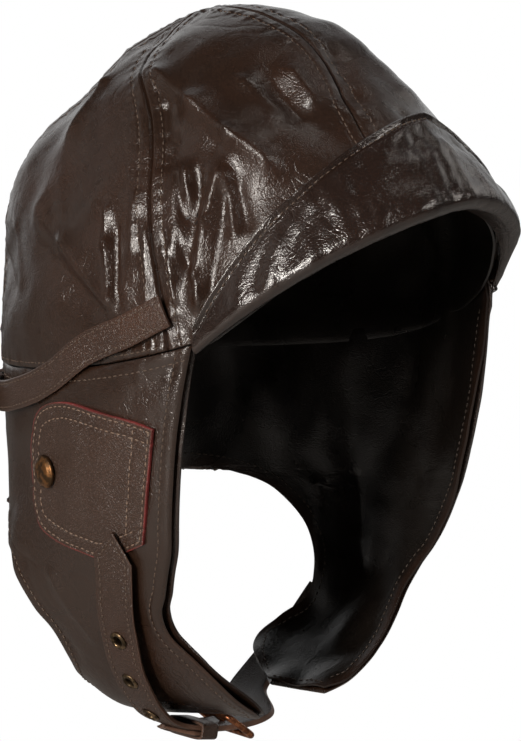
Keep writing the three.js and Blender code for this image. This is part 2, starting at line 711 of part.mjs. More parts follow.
function chinStrap() {
  let solid = toSolid(strap(chinLine, {
    width: CHIN_STRAP_WIDTH,
    wall: CHIN_STRAP_WALL,
    steps: STRAP_STEPS,
    tip: CHIN_TIP_LENGTH,
  }));
  for (const share of EYELET_SHARES) {
    const place = frameAt(chinLine, share);
    const drill = bar(eyeletBarrel + CLEARANCE, -CHIN_STRAP_WALL, CHIN_STRAP_WALL, HOLE_SIDES, place);
    solid = solid.subtract(toSolid(drill));
  }
  const { point, across, plane } = buckleFrame();
  const aim = { point, across, out: plane, along: new THREE.Vector3().crossVectors(plane, across) };
  const hole = bar(PRONG_DIAMETER / 2 + CLEARANCE, -BUCKLE_WINDOW / 2, BUCKLE_WINDOW / 2, HOLE_SIDES, aim);
  return fromSolid(solid.subtract(toSolid(hole)));
}

function eyelet(share) {
  const frame = frameAt(chinLine, share);
  const [inner, barrel, outer] = [EYELET_HOLE / 2, eyeletBarrel, EYELET_OUTER / 2];
  const seat = CHIN_STRAP_WALL / 2 + CLEARANCE;
  const profile = [
    [inner, -CHIN_STRAP_WALL / 2],
    [barrel, -CHIN_STRAP_WALL / 2],
    [barrel, seat],
    [outer, seat],
    [outer, seat + EYELET_FLANGE * 0.4],
    [(outer + inner) / 2, seat + EYELET_FLANGE],
    [inner, seat + EYELET_FLANGE * 0.5],
  ];
  return turnedBody(profile, EYELET_SIDES, frame);
}

function prong() {
  const { point, across, plane } = buckleFrame();
  const aim = { point, across, out: plane, along: new THREE.Vector3().crossVectors(plane, across) };
  const reach = BUCKLE_WINDOW / 2 - CLEARANCE;
  return bar(PRONG_DIAMETER / 2, -reach, reach, 8, aim);
}

function chape() {
  const end = BUCKLE_SHARE - (BUCKLE_WINDOW * 0.75 + BUCKLE_BAR) / chinLine.length;
  return strap(chinLine, {
    width: CHIN_STRAP_WIDTH,
    wall: CHAPE_WALL,
    steps: 8,
    from: end - CHAPE_LENGTH / chinLine.length,
    to: end,
    raise: CHIN_STRAP_WALL / 2 + CLEARANCE + CHAPE_WALL / 2,
    roundEnd: true,
  });
}

// The keeper holds the strap and the chape that lies on it
function chinKeeper() {
  const frame = frameAt(chinLine, CHIN_KEEPER_SHARE);
  frame.point.addScaledVector(frame.out, (CHAPE_WALL + CLEARANCE) / 2);
  const height = CHIN_STRAP_WALL + CHAPE_WALL + 3 * CLEARANCE;
  return loopGeometry(CHIN_STRAP_WIDTH + 2 * CLEARANCE, height, KEEPER_WALL, KEEPER_WIDTH, frame, frame.out);
}

// Back straps
const backLineRight = route(alongForm(BACK_STRAP_RIGHT, 16), BACK_STRAP_WALL, BACK_STRAP_WIDTH);
const backLineLeft = route(alongForm(BACK_STRAP_LEFT, 32), BACK_STRAP_WALL, BACK_STRAP_WIDTH);

function backTail() {
  const frame = frameAt(backLineLeft, 1);
  const start = frame.point.clone().addScaledVector(frame.along, -BACK_STRAP_WIDTH / 2);
  start.addScaledVector(frame.out, BACK_STRAP_WALL + 3 * CLEARANCE);
  const down = new THREE.Vector3(0, 0, -1);
  const sideways = new THREE.Vector3().crossVectors(frame.out, down).normalize();
  return sheetGeometry({
    columns: 1,
    rows: 4,
    top: BACK_STRAP_WALL / 2,
    foot: -BACK_STRAP_WALL / 2,
    place: (u, v, lift) => {
      const point = start.clone().addScaledVector(sideways, mix(-0.5, 0.5, u) * BACK_STRAP_WIDTH * 0.8);
      point.addScaledVector(down, v * BACK_TAIL_LENGTH - BACK_STRAP_WIDTH / 2);
      return point.addScaledVector(frame.out, lift);
    },
  });
}

// The back keeper holds the left strap's end
function backKeeper() {
  const frame = frameAt(backLineLeft, BACK_KEEPER_SHARE);
  const height = BACK_STRAP_WALL + 2 * CLEARANCE;
  const width = BACK_STRAP_WIDTH + 2 * CLEARANCE;
  return loopGeometry(width, height, KEEPER_WALL, BACK_KEEPER_WIDTH, frame, frame.out);
}

// Materials
function material(color, roughness, metalness = 0) {
  return new THREE.MeshStandardMaterial({ color, roughness, metalness });
}
const leather = material(0x3a2a22, 0.42);
const brimLeather = material(0x2f211b, 0.35);
const liningCloth = material(0x0f0b09, 0.5);
const patchLeather = material(0x3f2f28, 0.5);
const strapLeather = material(0x382a23, 0.5);
const brass = material(0x7a4a28, 0.45, 0.9);
const copper = material(0x8a4a2a, 0.4, 0.9);

const helmet = new THREE.Group();
helmet.name = 'flying_helmet';

function add(name, geometry, look) {
  const mesh = new THREE.Mesh(geometry, look);
  mesh.name = name;
  helmet.add(mesh);
}

CROWN_PANELS.forEach((name, index) => add(`crown_${name}`, crownPanel(index), leather));
add('crown_lining', crownLining(), liningCloth);
add('brim', brim(), brimLeather);

for (const [name, side, outline] of [['right', -1, RIGHT_FLAP], ['left', 1, LEFT_FLAP]]) {
  add(`flap_${name}`, flap(side, outline, 0, LEATHER), leather);
  add(`flap_lining_${name}`, flap(side, outline, -LEATHER - LINING_GAP, LINING), liningCloth);
  add(`ear_patch_${name}`, earPatch(side), patchLeather);
  add(`snap_${name}`, snap(side), brass);
}

const backStrap = { width: BACK_STRAP_WIDTH, wall: BACK_STRAP_WALL };
add('back_strap_right', strap(backLineRight, { ...backStrap, steps: 16 }), strapLeather);
add('back_strap_left', strap(backLineLeft, { ...backStrap, steps: 36 }), strapLeather);
add('back_tail', backTail(), strapLeather);
add('back_keeper', backKeeper(), strapLeather);

add('chin_strap', chinStrap(), strapLeather);
EYELET_SHARES.forEach((share, index) => add(`eyelet_${index + 1}`, eyelet(share), brass));
add('chin_chape', chape(), strapLeather);

add('chin_keeper', chinKeeper(), strapLeather);
add('buckle_frame', buckleRing(), copper);
add('buckle_prong', prong(), copper);

export default helmet;
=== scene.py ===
"""A leather flying helmet: panelled crown, turned-up brim, ear flaps and a buckled chin strap."""

import math

import bmesh
import bpy
import numpy as np
from bpy.props import FloatProperty, FloatVectorProperty, PointerProperty
from mathutils import Matrix, Vector
from mathutils.bvhtree import BVHTree


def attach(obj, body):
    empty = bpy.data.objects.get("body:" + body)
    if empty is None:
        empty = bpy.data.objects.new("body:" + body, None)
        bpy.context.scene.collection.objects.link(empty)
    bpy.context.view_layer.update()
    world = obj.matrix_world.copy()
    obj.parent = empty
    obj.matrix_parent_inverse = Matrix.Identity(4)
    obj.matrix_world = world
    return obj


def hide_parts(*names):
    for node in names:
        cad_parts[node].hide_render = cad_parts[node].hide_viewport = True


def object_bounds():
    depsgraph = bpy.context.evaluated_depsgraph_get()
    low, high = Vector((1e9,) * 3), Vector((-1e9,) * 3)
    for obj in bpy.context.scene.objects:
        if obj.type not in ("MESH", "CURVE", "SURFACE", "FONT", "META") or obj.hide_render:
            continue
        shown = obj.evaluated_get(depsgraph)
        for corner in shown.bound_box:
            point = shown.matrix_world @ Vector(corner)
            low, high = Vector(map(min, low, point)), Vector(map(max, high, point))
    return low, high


bl_info = {
    "name": "Leather Flying Helmet",
    "version": (1, 0, 0),
    "blender": (4, 5, 0),
    "location": "3D View > Sidebar > Helmet",
    "description": "Builds the leather, lining, straps, stitches and metal of a flying helmet",
    "category": "Add Mesh",
}

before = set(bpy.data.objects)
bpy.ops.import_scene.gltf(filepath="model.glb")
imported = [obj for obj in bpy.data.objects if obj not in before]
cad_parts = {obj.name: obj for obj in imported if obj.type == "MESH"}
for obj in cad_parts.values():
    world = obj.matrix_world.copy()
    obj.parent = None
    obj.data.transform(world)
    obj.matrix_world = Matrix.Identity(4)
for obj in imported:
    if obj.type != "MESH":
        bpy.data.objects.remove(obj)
CAD_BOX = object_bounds()
MM = 0.001

# Sizes of the form in millimetres
HALF_WIDTH = 84
FRONT_DEPTH = 105
BACK_DEPTH = 108
CROWN_HEIGHT = 118.5
CROWN_FULLNESS = 1.1
CROWN_SPAN = 6
APEX_RIGHT = 8
APEX_BACK = 13
FACE_HEIGHT = 51
FACE_HALF_ANGLE = 62
RIGHT_CORNER = 62
LEFT_CORNER = 51
FACE_FLARE = 9
SKIRT_DROP = 154
SEAM_DROP = 20
CLEARANCE = 0.3
SEAM_GAP = 0.6
LINING_GAP = 0.5
BRIM_REACH = 15
BRIM_BAND = 32
BRIM_LEAN = 26
BRIM_LEFT_DROOP = 0.6
BRIM_LEFT_TUCK = 1.7
BRIM_LEFT_UPRIGHT = 5
BRIM_REACH_FADE = 0.8
BRIM_BAND_FADE = 0.72
BRIM_SEAT = 3.4
BRIM_END_TUCK = 0.6
SNAP_RADIUS = 6.25
SNAP_HEIGHT = 2.6
BACK_STRAP_WIDTH = 12
BACK_STRAP_WALL = 1.6
BACK_TAIL_LENGTH = 22
BACK_KEEPER_WIDTH = 9
CHIN_STRAP_WIDTH = 18
CHIN_STRAP_WALL = 2
CHIN_TIP_LENGTH = 11
EYELET_OUTER = 3.75
EYELET_HOLE = 2
EYELET_FLANGE = 0.8
KEEPER_WALL = 1.2
KEEPER_WIDTH = 8
BUCKLE_WINDOW = 12
BUCKLE_BAR = 2.6
BUCKLE_TILT = 38
BUCKLE_CORNER = 2.2
PRONG_RADIUS = 0.9
CHAPE_WALL = 1.8
CHAPE_LENGTH = 20

# Sections of the form below the head opening: drop, side, front and back
SECTIONS = np.array([
    (0, 1, 1, 1),
    (0.195, 1, 0.98, 1),
    (0.39, 0.98, 0.95, 0.97),
    (0.55, 0.94, 0.92, 0.955),
    (0.68, 0.87, 0.885, 0.935),
    (0.79, 0.75, 0.84, 0.905),
    (0.89, 0.585, 0.8, 0.87),
    (0.96, 0.37, 0.78, 0.835),
    (1, 0.145, 0.76, 0.795),
])

# Crown seams: angles at equal steps from the lower edge to the apex, starting with the front seam
SEAMS = np.array([
    (-14, -14, -10, -15, -26),
    (66, 70, 74, 90, 108),
    (126, 128, 130, 134, 140),
    (180, 180, 181, 184, 190),
    (224, 223, 223, 221, 218),
    (292, 287, 281, 260, 246),
])
PANELS = ("front_left", "side_left", "back_left", "back_right", "side_right", "front_right")
PANEL_GRIDS = ((84, 110), (60, 90), (50, 90), (60, 90), (104, 130), (124, 140))

# Broad folds of the form: angle, row, to angle, to row, half width and height
FOLDS = (
    (-108, 1.45, -82, 0.5, 6, 2.2),
    (-104, 1.0, -88, 0.35, 6, -1.8),
    (-113, 4.1, -107, 1.6, 9, 2.6),
    (-84, 3.6, -64, 3.0, 7, 2.4),
    (-62, 2.9, -44, 2.1, 7, 3.0),
    (-72, 3.0, -69, 2.3, 8, -3.0),
    (-66, 2.0, -66, 1.2, 5, 2.2),
    (-62, 1.9, -63, 0.8, 5, -2.0),
    (-56, 2.0, -60, 0.6, 5, 2.4),
    (-36, 3.0, -24, 2.5, 10, -3.0),
    (-2, 3.6, -10, 3.0, 7, -3.0),
    (26, 4.1, 20, 2.9, 8, 2.0),
    (58, 2.2, 62, 1.0, 8, 2.0),
    (96, 2.6, 104, 1.0, 9, -2.0),
    (150, 2.4, 154, 0.8, 9, 2.0),
    (-156, 2.4, -150, 0.9, 9, -2.0),
    (-116, -2.7, -110, -4.0, 7, 1.6),
    (-117, -3.9, -101, -6.1, 26, 9.5),
    (-128, 1.8, -130, 2.6, 22, 3.6),
    (-118, 3.7, -112, 4.5, 16, -4.2),
    (-132, 3.1, -146, 3.4, 18, -3.8),
    (44, 3.4, 70, 4.6, 18, -4.0),
)

# Finer creases that only the leather's surface shows: the same columns
CREASES = (
    (-80, 3.59, -65, 3.0, 2.6, 1.6),
    (-65, 3.0, -53, 2.49, 2.6, 2.2),
    (-53, 2.49, -44, 2.13, 2.8, 2.6),
    (-78, 3.3, -56, 2.4, 4.0, -1.8),
    (-46, 3.31, -38, 2.92, 4.0, 1.8),
    (-27, 3.4, -25, 3.0, 3.6, 1.8),
    (-36, 3.3, -31, 2.8, 4.0, -1.2),
    (-56, 1.97, -60, 1.43, 2.0, 2.2),
    (-60, 1.43, -62, 0.8, 2.0, 2.3),
    (-62, 0.8, -61, 0.45, 1.8, 1.6),
    (-55, 1.7, -58.5, 0.6, 3.4, -2.2),
    (-54, 1.95, -53, 1.27, 2.2, 1.8),
    (-51.5, 1.85, -50, 1.4, 2.6, -1.4),
    (-65, 2.1, -63.5, 1.7, 2.2, 1.8),
    (-67, 2.0, -65.5, 1.5, 2.4, -1.8),
    (-66, 1.2, -64, 0.9, 2.0, -1.2),
    (-68, 0.95, -66.5, 0.5, 1.8, 1.2),
    (-70.5, 0.9, -69, 0.35, 1.6, -1.1),
    (-74, 1.3, -72.5, 0.4, 1.8, 1.1),
    (-77.5, 1.7, -77, 1.1, 2.6, 1.6),
    (-82, 1.3, -80, 0.43, 2.4, -2.2),
    (-85, 1.55, -84, 1.14, 2.0, 2.0),
    (-84, 1.14, -81, 0.46, 1.8, 2.0),
    (-97, 1.09, -82, 0.39, 2.2, 1.7),
    (-100, 0.9, -84, 0.3, 2.6, -1.3),
    (-88, 1.6, -84, 1.2, 3.0, -1.0),
    (-104, 1.9, -97, 1.2, 3.2, 1.0),
    (-126, 4.3, -110, 3.5, 3.0, 1.5),
    (-110, 3.5, -108, 2.6, 3.0, 1.4),
    (-116, 3.7, -113, 2.9, 2.6, -1.2),
    (8, 2.2, 14, 1.5, 2.0, 1.0),
    (13, 2.3, 19, 1.6, 2.0, -1.0),
    (4, 2.6, 8, 2.1, 2.4, -0.9),
    (-122, 1.2, -114, 0.5, 2.4, 0.8),
    (-130, 0.8, -118, 0.4, 2.0, -0.7),
    (-82, -0.3, -70, -0.15, 1.8, 0.7),
    (-76, -0.75, -67, -0.4, 2.2, -0.8),
    (-73, -0.95, -67, -0.7, 1.8, 0.6),
    (-104, -3.4, -96, -4.6, 2.4, 0.9),
    (-112, -3.2, -104, -5.0, 3.0, -0.9),
    (-118, -3.0, -112, -4.3, 2.4, 0.9),
    (-123, -2.6, -121, -3.6, 2.0, 0.8),
    (100, 2.0, 108, 0.8, 2.6, 1.2),
    (112, 1.7, 118, 0.6, 2.6, -1.1),
    (160, 2.0, 165, 0.6, 2.8, 1.1),
    (-165, 1.8, -160, 0.7, 2.6, -1.1),
    (-142, 2.6, -138, 1.2, 3.0, 1.1),
    (80, 1.4, 76, 0.4, 2.0, 1.3),
    (74, 1.5, 71, 0.4, 1.8, -1.3),
    (68, 1.6, 66, 0.5, 1.8, 1.3),
    (60, 1.8, 63, 0.8, 2.2, -1.2),
    (100, -2.6, 92, -4.4, 3.0, 0.9),
    (110, -2.8, 104, -4.6, 3.0, -0.9),
)

# Outlines of the flaps: front, front row, rear, rear row, rows counted downwards
RIGHT_FLAP = (
    (65.5, 1, 180, 1.65),
    (67, 1.9, 180, 2.6),
    (67.5, 2.3, 165, 2.61),
    (68, 2.7, 150, 2.64),
    (69.5, 3.1, 136, 2.74),
    (71, 3.5, 124, 3.05),
    (73, 3.9, 115, 3.6),
    (72.5, 4.4, 109, 4.4),
    (68, 5, 108, 5.2),
    (64.5, 5.6, 112, 5.8),
    (63, 6.2, 111, 6.35),
    (63, 6.7, 105, 6.85),
    (65, 7.05, 94, 7.25),
)
LEFT_FLAP = (
    (54, 0.75, 180, 1.65),
    (58.5, 1.8, 180, 2.55),
    (61, 2.25, 165, 2.55),
    (64.5, 2.7, 150, 2.56),
    (67.5, 3.15, 134, 2.66),
    (70.5, 3.6, 121, 2.98),
    (73.5, 4.05, 112, 3.55),
    (75, 4.6, 106, 4.4),
    (74, 5.2, 105, 5.15),
    (73.5, 5.7, 110, 5.75),
    (73.5, 6.2, 113, 6.3),
    (74, 6.8, 108, 6.9),
    (77, 7.35, 96, 7.5),
)

# Outline of an ear patch: top, top row, foot and foot row of each column
PATCH = np.array([
    (70.5, 1.06, 74, 2.58),
    (77, 0.98, 79.5, 2.76),
    (85, 0.93, 86, 2.92),
    (94, 0.88, 94, 2.86),
    (101, 0.96, 101.5, 2.74),
    (105.5, 1.15, 106.5, 2.56),
    (108, 1.5, 109, 2.26),
])

# Distances of the patch's inner stitch rows from its sides, and the angle and row of the snap
PATCH_ROWS = {"left": 8.5, "right": 6.0, "foot": 6.0, "top": 6.0}
SNAP_PLACE = (102, 1.78)

# Half section of a snap's cap: shares of its radius and of its height
SNAP_PROFILE = (
    (0, 0), (1, 0), (1, 0.3), (0.95, 0.5), (0.86, 0.55), (0.8, 0.78), (0.6, 0.95), (0.3, 1), (0, 1),
)

# Points along the rim of a sheet, and the rows of a flap's outline that run down its back seam
RIM_STEPS = 260
NECK_ROWS = 2

# Rim points left out at the ends of a stitch row, and the shift that keeps two seams from puckering alike
CROWN_TRIM = 6
FLAP_TRIM = 6
FLAP_SEAM_TRIM = 4
LINING_TRIM = 8
PATCH_EDGE_TRIM = 4
PATCH_TRIM = 10
FOOT_PUCKER_SHIFT = 40

# Columns and rows of the sheets
CROWN_LINING_GRID = (200, 80)
BRIM_GRID = (220, 90)
FLAP_GRID = (150, 150)
FLAP_LINING_GRID = (90, 90)
PATCH_GRID = (90, 90)
TAIL_GRID = (12, 30)
STRAP_COLUMNS = 18
BACK_STRAP_ROWS = 200
CHIN_STRAP_ROWS = 460
CHAPE_ROWS = 30

# Relief of seams and hems: heights and half widths
CROWN_GROOVE = 1.1
SIDE_GROOVE = 0.4
BACK_GROOVE = 0.6
GROOVE_WIDTH = 0.6
DOUBLED_HEIGHT = 0.2
DOUBLED_END = 0.8
SEAM_DIP = 0.3
SEAM_DIP_WIDTH = 0.6
PUCKER_HEIGHT = 0.16
PUCKER_WIDTH = 3.0
HEM_ROLL = 1.1
HEM_ROLL_WIDTH = 1.3
HEM_DOUBLED_HEIGHT = 0.3
HEM_DIP = 0.34
HEM_DIP_WIDTH = 0.65

# Relief of the patches and straps: dips under the stitches, roundness and waves
PATCH_EDGE_DIP = 0.3
PATCH_EDGE_DIP_WIDTH = 0.5
PATCH_DIP = 0.34
PATCH_DIP_WIDTH = 0.6
PATCH_WAVE = 0.18
PATCH_WAVE_LENGTH = 21
STRAP_CROWN = 0.25
STRAP_DIP = 0.22
STRAP_DIP_WIDTH = 0.5
STRAP_ROUND = 0.4
STRAP_ROUND_WIDTH = 0.7
STRAP_WAVE = 0.12
STRAP_WAVE_LENGTH = 26

# Stitch rows: how much nearer to the seam two of them lie, and the distances of the others
CROWN_FOOT_NEARER = 3.2
FLAP_TOP_NEARER = 0.5
HEM_ROW = 5.0
BRIM_ROW = 3.0
PATCH_EDGE_ROW = 1.6
STRAP_ROW = 2.6
BACK_STRAP_ROW = 1.6
BACK_STRAP_CROSS_ROWS = (1.8, 9.5)
STITCH_FLATNESS = 0.8
STITCH_LIFT = 0.02
CROWN_STITCH_SINK = 0.08

# Ends of the sheets: share of the way to the apex, rows that the lining hangs lower, angle at the back
APEX_REACH = 0.998
LINING_HANG = 0.16
BACK_MEETING = 179.92

# Steps of a full spin, angle from which an edge is rounded, and seeds of the random relief
SPIN_STEPS = 40
ROUNDED_ANGLE = 55
CROWN_SEED = 3
CROWN_LINING_SEED = 70
BRIM_SEEDS = (41, 42, 43, 44)
FLAP_SEEDS = {"right": 5, "left": 6}
FLAP_LINING_SEED = 90
PATCH_SEED = 12
STRAP_SEED = 33

# Piped edge of the brim: height, distance from the edge and half width of its cord and of the groove
PIPING = ((1.0, 1.2, 0.8), (-0.8, 2.8, 0.6))
PIPING_ROUND = 0.8

# Cross-section of the brim: reach, lean and rise
BRIM_PROFILE = np.array([
    (-0.04, 0, 0.02),
    (0.45, 0, 0),
    (0.86, 0, 0.02),
    (1, 0, 0.16),
    (1, 0.38, 0.53),
    (1, 1, 1),
])

# Routes of the straps: angle, row and height over the leather
BACK_STRAP_RIGHT = np.array([
    (-68, 0.36, 0.8),
    (-84, -0.12, 0.6),
    (-100, -0.66, 0),
    (-116, -0.95, 1.5),
    (-130, -1.05, 1.5),
    (-146, -1.1, 0.5),
])
BACK_STRAP_LEFT = np.array([
    (68, 0.36, 0.6),
    (84, -0.12, 0.4),
    (100, -0.66, 0),
    (130, -1, 0),
    (170, -1.1, 0),
    (198, -1.1, 1.6),
    (210, -1.1, 3.8),
    (224, -1.08, 5),
    (236, -1.05, 5.4),
])
CHIN_STRAP_ROUTE = np.array([
    (-81, -2.42, 2.0),
    (-82.5, -3.2, 1.4),
    (-85, -4.1, 1.0),
    (-88, -5.3, 1.6),
    (-90, -6.4, 2.4),
    (-90, -7.4, 2.8),
    (180, -8.0, 2.0),
    (106, -7.5, 3.0),
    (108, -6.7, 1.6),
    (106, -5.9, 0.6),
    (103, -4.9, 0),
])

# Station of the chin strap under the chin, and shares of the straps' lengths at which parts sit
CHIN_MIDDLE = 6
EYELET_SHARES = (0.2, 0.287, 0.374)
CHIN_KEEPER_SHARE = 0.475
BUCKLE_SHARE = 0.545
BACK_KEEPER_SHARE = 0.94

# The photograph's view: turn and height in degrees, distance and aim in metres, sensor in millimetres
CAMERA_TURN = -44
CAMERA_HEIGHT = 8
CAMERA_DISTANCE = 1.1
CAMERA_AIM = (0.0032, -0.0031, -0.022)
SENSOR_HEIGHT = 36
FOCAL_PIXELS = 2860
IMAGE_HEIGHT = 741

# Lights: name, place and aim in metres, width and height in metres, power in watts
LIGHT_COLOUR = (1, 0.94, 0.88)
LIGHTS = (
    ("overhead", (0.33, -0.2, 1.2), (0, 0, 0.03), (0.16, 0.22), 0.5),
    ("near side", (-1.32, -0.3, 0.36), (0, 0, -0.03), (0.2, 0.6), 19),
    ("back left", (-0.8, 1.1, 0.5), (0, 0, 0), (0.4, 1.2), 0.8),
    ("far side", (1.1, -0.3, 0.6), (0, 0, 0.02), (0.25, 0.9), 1.6),
    ("front", (0.35, -1.15, 0.65), (0, 0, 0.02), (0.12, 0.35), 2.8),
)

# Half width of the floor and its distance below the helmet, in metres
FLOOR_HALF = 4
FLOOR_BELOW = 0.09


def size_property(name, description, default):
    return FloatProperty(name=name, description=f"{description} in mm", default=default)


def colour_property(name, description, default):
    return FloatVectorProperty(
        name=name, description=description, subtype="COLOR", size=3, min=0, max=1, default=default)


class HelmetSizes(bpy.types.PropertyGroup):
    leather: size_property("Leather", "Thickness of the leather", 1.8)
    lining: size_property("Lining", "Thickness of the lining", 0.9)
    brim: size_property("Brim", "Thickness of the doubled brim", 2.4)
    patch: size_property("Patch", "Thickness of an ear patch", 1.6)
    pitch: size_property("Stitch pitch", "Distance between stitches", 2.7)
    thread: size_property("Thread", "Radius of the thread", 0.3)
    seam: size_property("Seam rows", "Distance of a stitch row from its seam", 5)


class HelmetColours(bpy.types.PropertyGroup):
    leather: colour_property("Leather", "Brown of the crown and flaps", (0.030, 0.0148, 0.0086))
    brim: colour_property("Brim", "Darker brown of the brim", (0.021, 0.0102, 0.0064))
    patch: colour_property("Patch", "Brown of the ear patches", (0.053, 0.0285, 0.019))
    strap: colour_property("Strap", "Brown of the straps", (0.053, 0.028, 0.0185))
    lining: colour_property("Lining", "Black of the lining", (0.0075, 0.0055, 0.0042))
    raw_edge: colour_property("Raw edge", "Burgundy of the patch's cut edge", (0.24, 0.032, 0.030))
    thread: colour_property("Thread", "Brown of the thread", (0.12, 0.083, 0.06))
    brass: colour_property("Brass", "Antique brass of the eyelets", (0.20, 0.135, 0.075))
    snap: colour_property("Snap", "Antique copper of the snaps", (0.26, 0.12, 0.045))
    copper: colour_property("Copper", "Coppered bronze of the buckle", (0.38, 0.15, 0.07))
    floor: colour_property("Floor", "Pale floor", (0.5, 0.48, 0.46))


def between(values, place):
    """A smooth value between the rows of a table."""
    values = np.asarray(values, float)
    last = len(values) - 1
    at = np.clip(place, 0, last)
    index = np.minimum(np.floor(at).astype(int), last - 1)
    share = at - index
    a, b, c, d = (values[np.clip(index + step, 0, last)] for step in (-1, 0, 1, 2))
    bend = (2 * a - 5 * b + 4 * c - d) * share**2
    turn = (3 * b - a - 3 * c + d) * share**3
    return 0.5 * (2 * b + (c - a) * share + bend + turn)


def unit(vectors):
    return vectors / (np.linalg.norm(vectors, axis=-1, keepdims=True) + 1e-12)


def form_points(angle, row):
    """The bare form at angles round the head and rows down or up from the opening."""
    angle, row = np.broadcast_arrays(np.asarray(angle, float), np.asarray(row, float))
    across, along = np.sin(np.radians(angle)), np.cos(np.radians(angle))
    reach = np.where(along > 0, FRONT_DEPTH, BACK_DEPTH)
    depth = reach * np.where(along > 0, between(SECTIONS[:, 2], -row), between(SECTIONS[:, 3], -row))
    side = HALF_WIDTH * between(SECTIONS[:, 1], -row)
    low = np.stack([side * across, -depth * along, -SKIRT_DROP * between(SECTIONS[:, 0], -row)], -1)
    girth = np.cos(np.clip(row / CROWN_SPAN, 0, 1) * np.pi / 2) ** CROWN_FULLNESS
    x = HALF_WIDTH * across * girth - APEX_RIGHT * (1 - girth)
    y = -reach * along * girth + APEX_BACK * (1 - girth)
    share = np.minimum(1, np.hypot(x / HALF_WIDTH, y / np.where(y < 0, FRONT_DEPTH, BACK_DEPTH)))
    high = np.stack([x, y, CROWN_HEIGHT * np.sqrt(1 - share ** (2 / CROWN_FULLNESS))], -1)
    return np.where((row < 0)[..., None], low, high)


def form_normals(angle, row):
    angle, row = np.broadcast_arrays(np.asarray(angle, float), np.asarray(row, float))
    step = 0.01
    round_head = form_points(angle + 1, row) - form_points(angle - 1, row)
    up = form_points(angle, row + step) - form_points(angle, row - step)
    return unit(np.cross(round_head, up))


def row_at(height):
    rows = np.linspace(0, len(SECTIONS) - 1, 400)
    below = -np.interp(-np.asarray(height, float), SKIRT_DROP * between(SECTIONS[:, 0], rows), rows)
    above = CROWN_SPAN * 2 / np.pi * np.arcsin(np.clip(height, 0, CROWN_HEIGHT) / CROWN_HEIGHT)
    return np.where(np.asarray(height) >= 0, above, below)


def turned(angle):
    return (np.asarray(angle, float) + 180) % 360 - 180


def face_edge(angle):
    return FACE_HEIGHT * (1 - (np.abs(angle) / FACE_HALF_ANGLE) ** 1.7)


def seam_height(angle):
    corner = np.where(angle < 0, RIGHT_CORNER, LEFT_CORNER)
    top = np.maximum(0, face_edge(corner))
    share = np.clip((np.abs(angle) - corner) / (180 - corner), 0, 1)
    return top - (top + SEAM_DROP) * (1 - (1 - share) ** 3.5)


def crown_edge_row(angle):
    at = turned(angle)
    over_face = np.abs(at) < np.where(at < 0, RIGHT_CORNER, LEFT_CORNER)
    return row_at(np.where(over_face, face_edge(at), seam_height(at)))


def ridge(points, start, end, spread, height, power):
    """Height of one fold line over the points near it."""
    along = end - start
    share = np.clip((points - start) @ along / (along @ along), 0, 1)
    gap = np.linalg.norm(points - start - share[:, None] * along, axis=1)
    return height * np.exp(-((gap / spread) ** power))


def folded(points, table, power):
    height = np.zeros(len(points))
    for angle, row, to_angle, to_row, spread, rise in table:
        height += ridge(points, form_points(angle, row), form_points(to_angle, to_row), spread, rise, power)
    return height


def relief(points, angle, row):
    """Broad folds with the flare of the crown over the face."""
    at = turned(angle)
    middle = np.maximum(0, 1 - (at / FACE_HALF_ANGLE) ** 2) ** 2
    over = np.maximum(0, row - crown_edge_row(at))
    flare = FACE_FLARE * middle * np.exp(-((over / 0.6) ** 2))
    return folded(points, FOLDS, 2) + np.where(row >= 0, flare, 0)


def waves(points, length, seed, count=10):
    """A smooth random field of about one in height, with waves of this length."""
    draw = np.random.default_rng(seed)
    ways = unit(draw.normal(size=(count, 3))) * draw.uniform(0.7, 1.5, (count, 1))
    turns = points @ ways.T * (2 * np.pi / length) + draw.uniform(0, 2 * np.pi, count)
    return np.sin(turns).sum(axis=1) / math.sqrt(count / 2)


def crinkles(points, length, seed):
    """Narrow valleys where a warped field passes zero."""
    warp = np.stack([waves(points, length * 1.7, seed + k) for k in (1, 2, 3)], -1) * length * 0.25
    return -np.exp(-((waves(points + warp, length, seed) / 0.16) ** 2))


def soft_relief(points, seed):
    """Soft undulation and crinkles of worn lambskin."""
    height = 0.6 * waves(points, 52, seed) + 0.14 * waves(points, 19, seed + 10)
    return height + 0.16 * crinkles(points, 24, seed + 20) + 0.05 * crinkles(points, 11, seed + 30)


def bump(distance, centre, spread):
    return np.exp(-(((distance - centre) / spread) ** 2))


def step_down(distance, at, spread):
    return 1 / (1 + np.exp((distance - at) / spread))


def seam_relief(distance, row_distance, along, groove=CROWN_GROOVE):
    """A sewn seam: a groove, doubled leather out to its stitch row, a dip there and a little puckering."""
    height = -groove * bump(distance, 0, GROOVE_WIDTH)
    height += DOUBLED_HEIGHT * step_down(distance, row_distance + DOUBLED_END, 0.35)
    height -= SEAM_DIP * bump(distance, row_distance, SEAM_DIP_WIDTH)
    pucker = np.sin(along * 0.61) + np.sin(along * 1.07 + 1.3) + 0.8 * np.sin(along * 1.63 + 0.4)
    return height + PUCKER_HEIGHT * pucker * bump(distance, row_distance, PUCKER_WIDTH)


def hem_relief(distance):
    """A turned hem: rolled over at its edge, with a dip along its stitch row."""
    roll = -HEM_ROLL * np.maximum(0, 1 - distance / HEM_ROLL_WIDTH) ** 2
    doubled = HEM_DOUBLED_HEIGHT * step_down(distance, HEM_ROW + DOUBLED_END, 0.4)
    return roll + doubled - HEM_DIP * bump(distance, HEM_ROW, HEM_DIP_WIDTH)


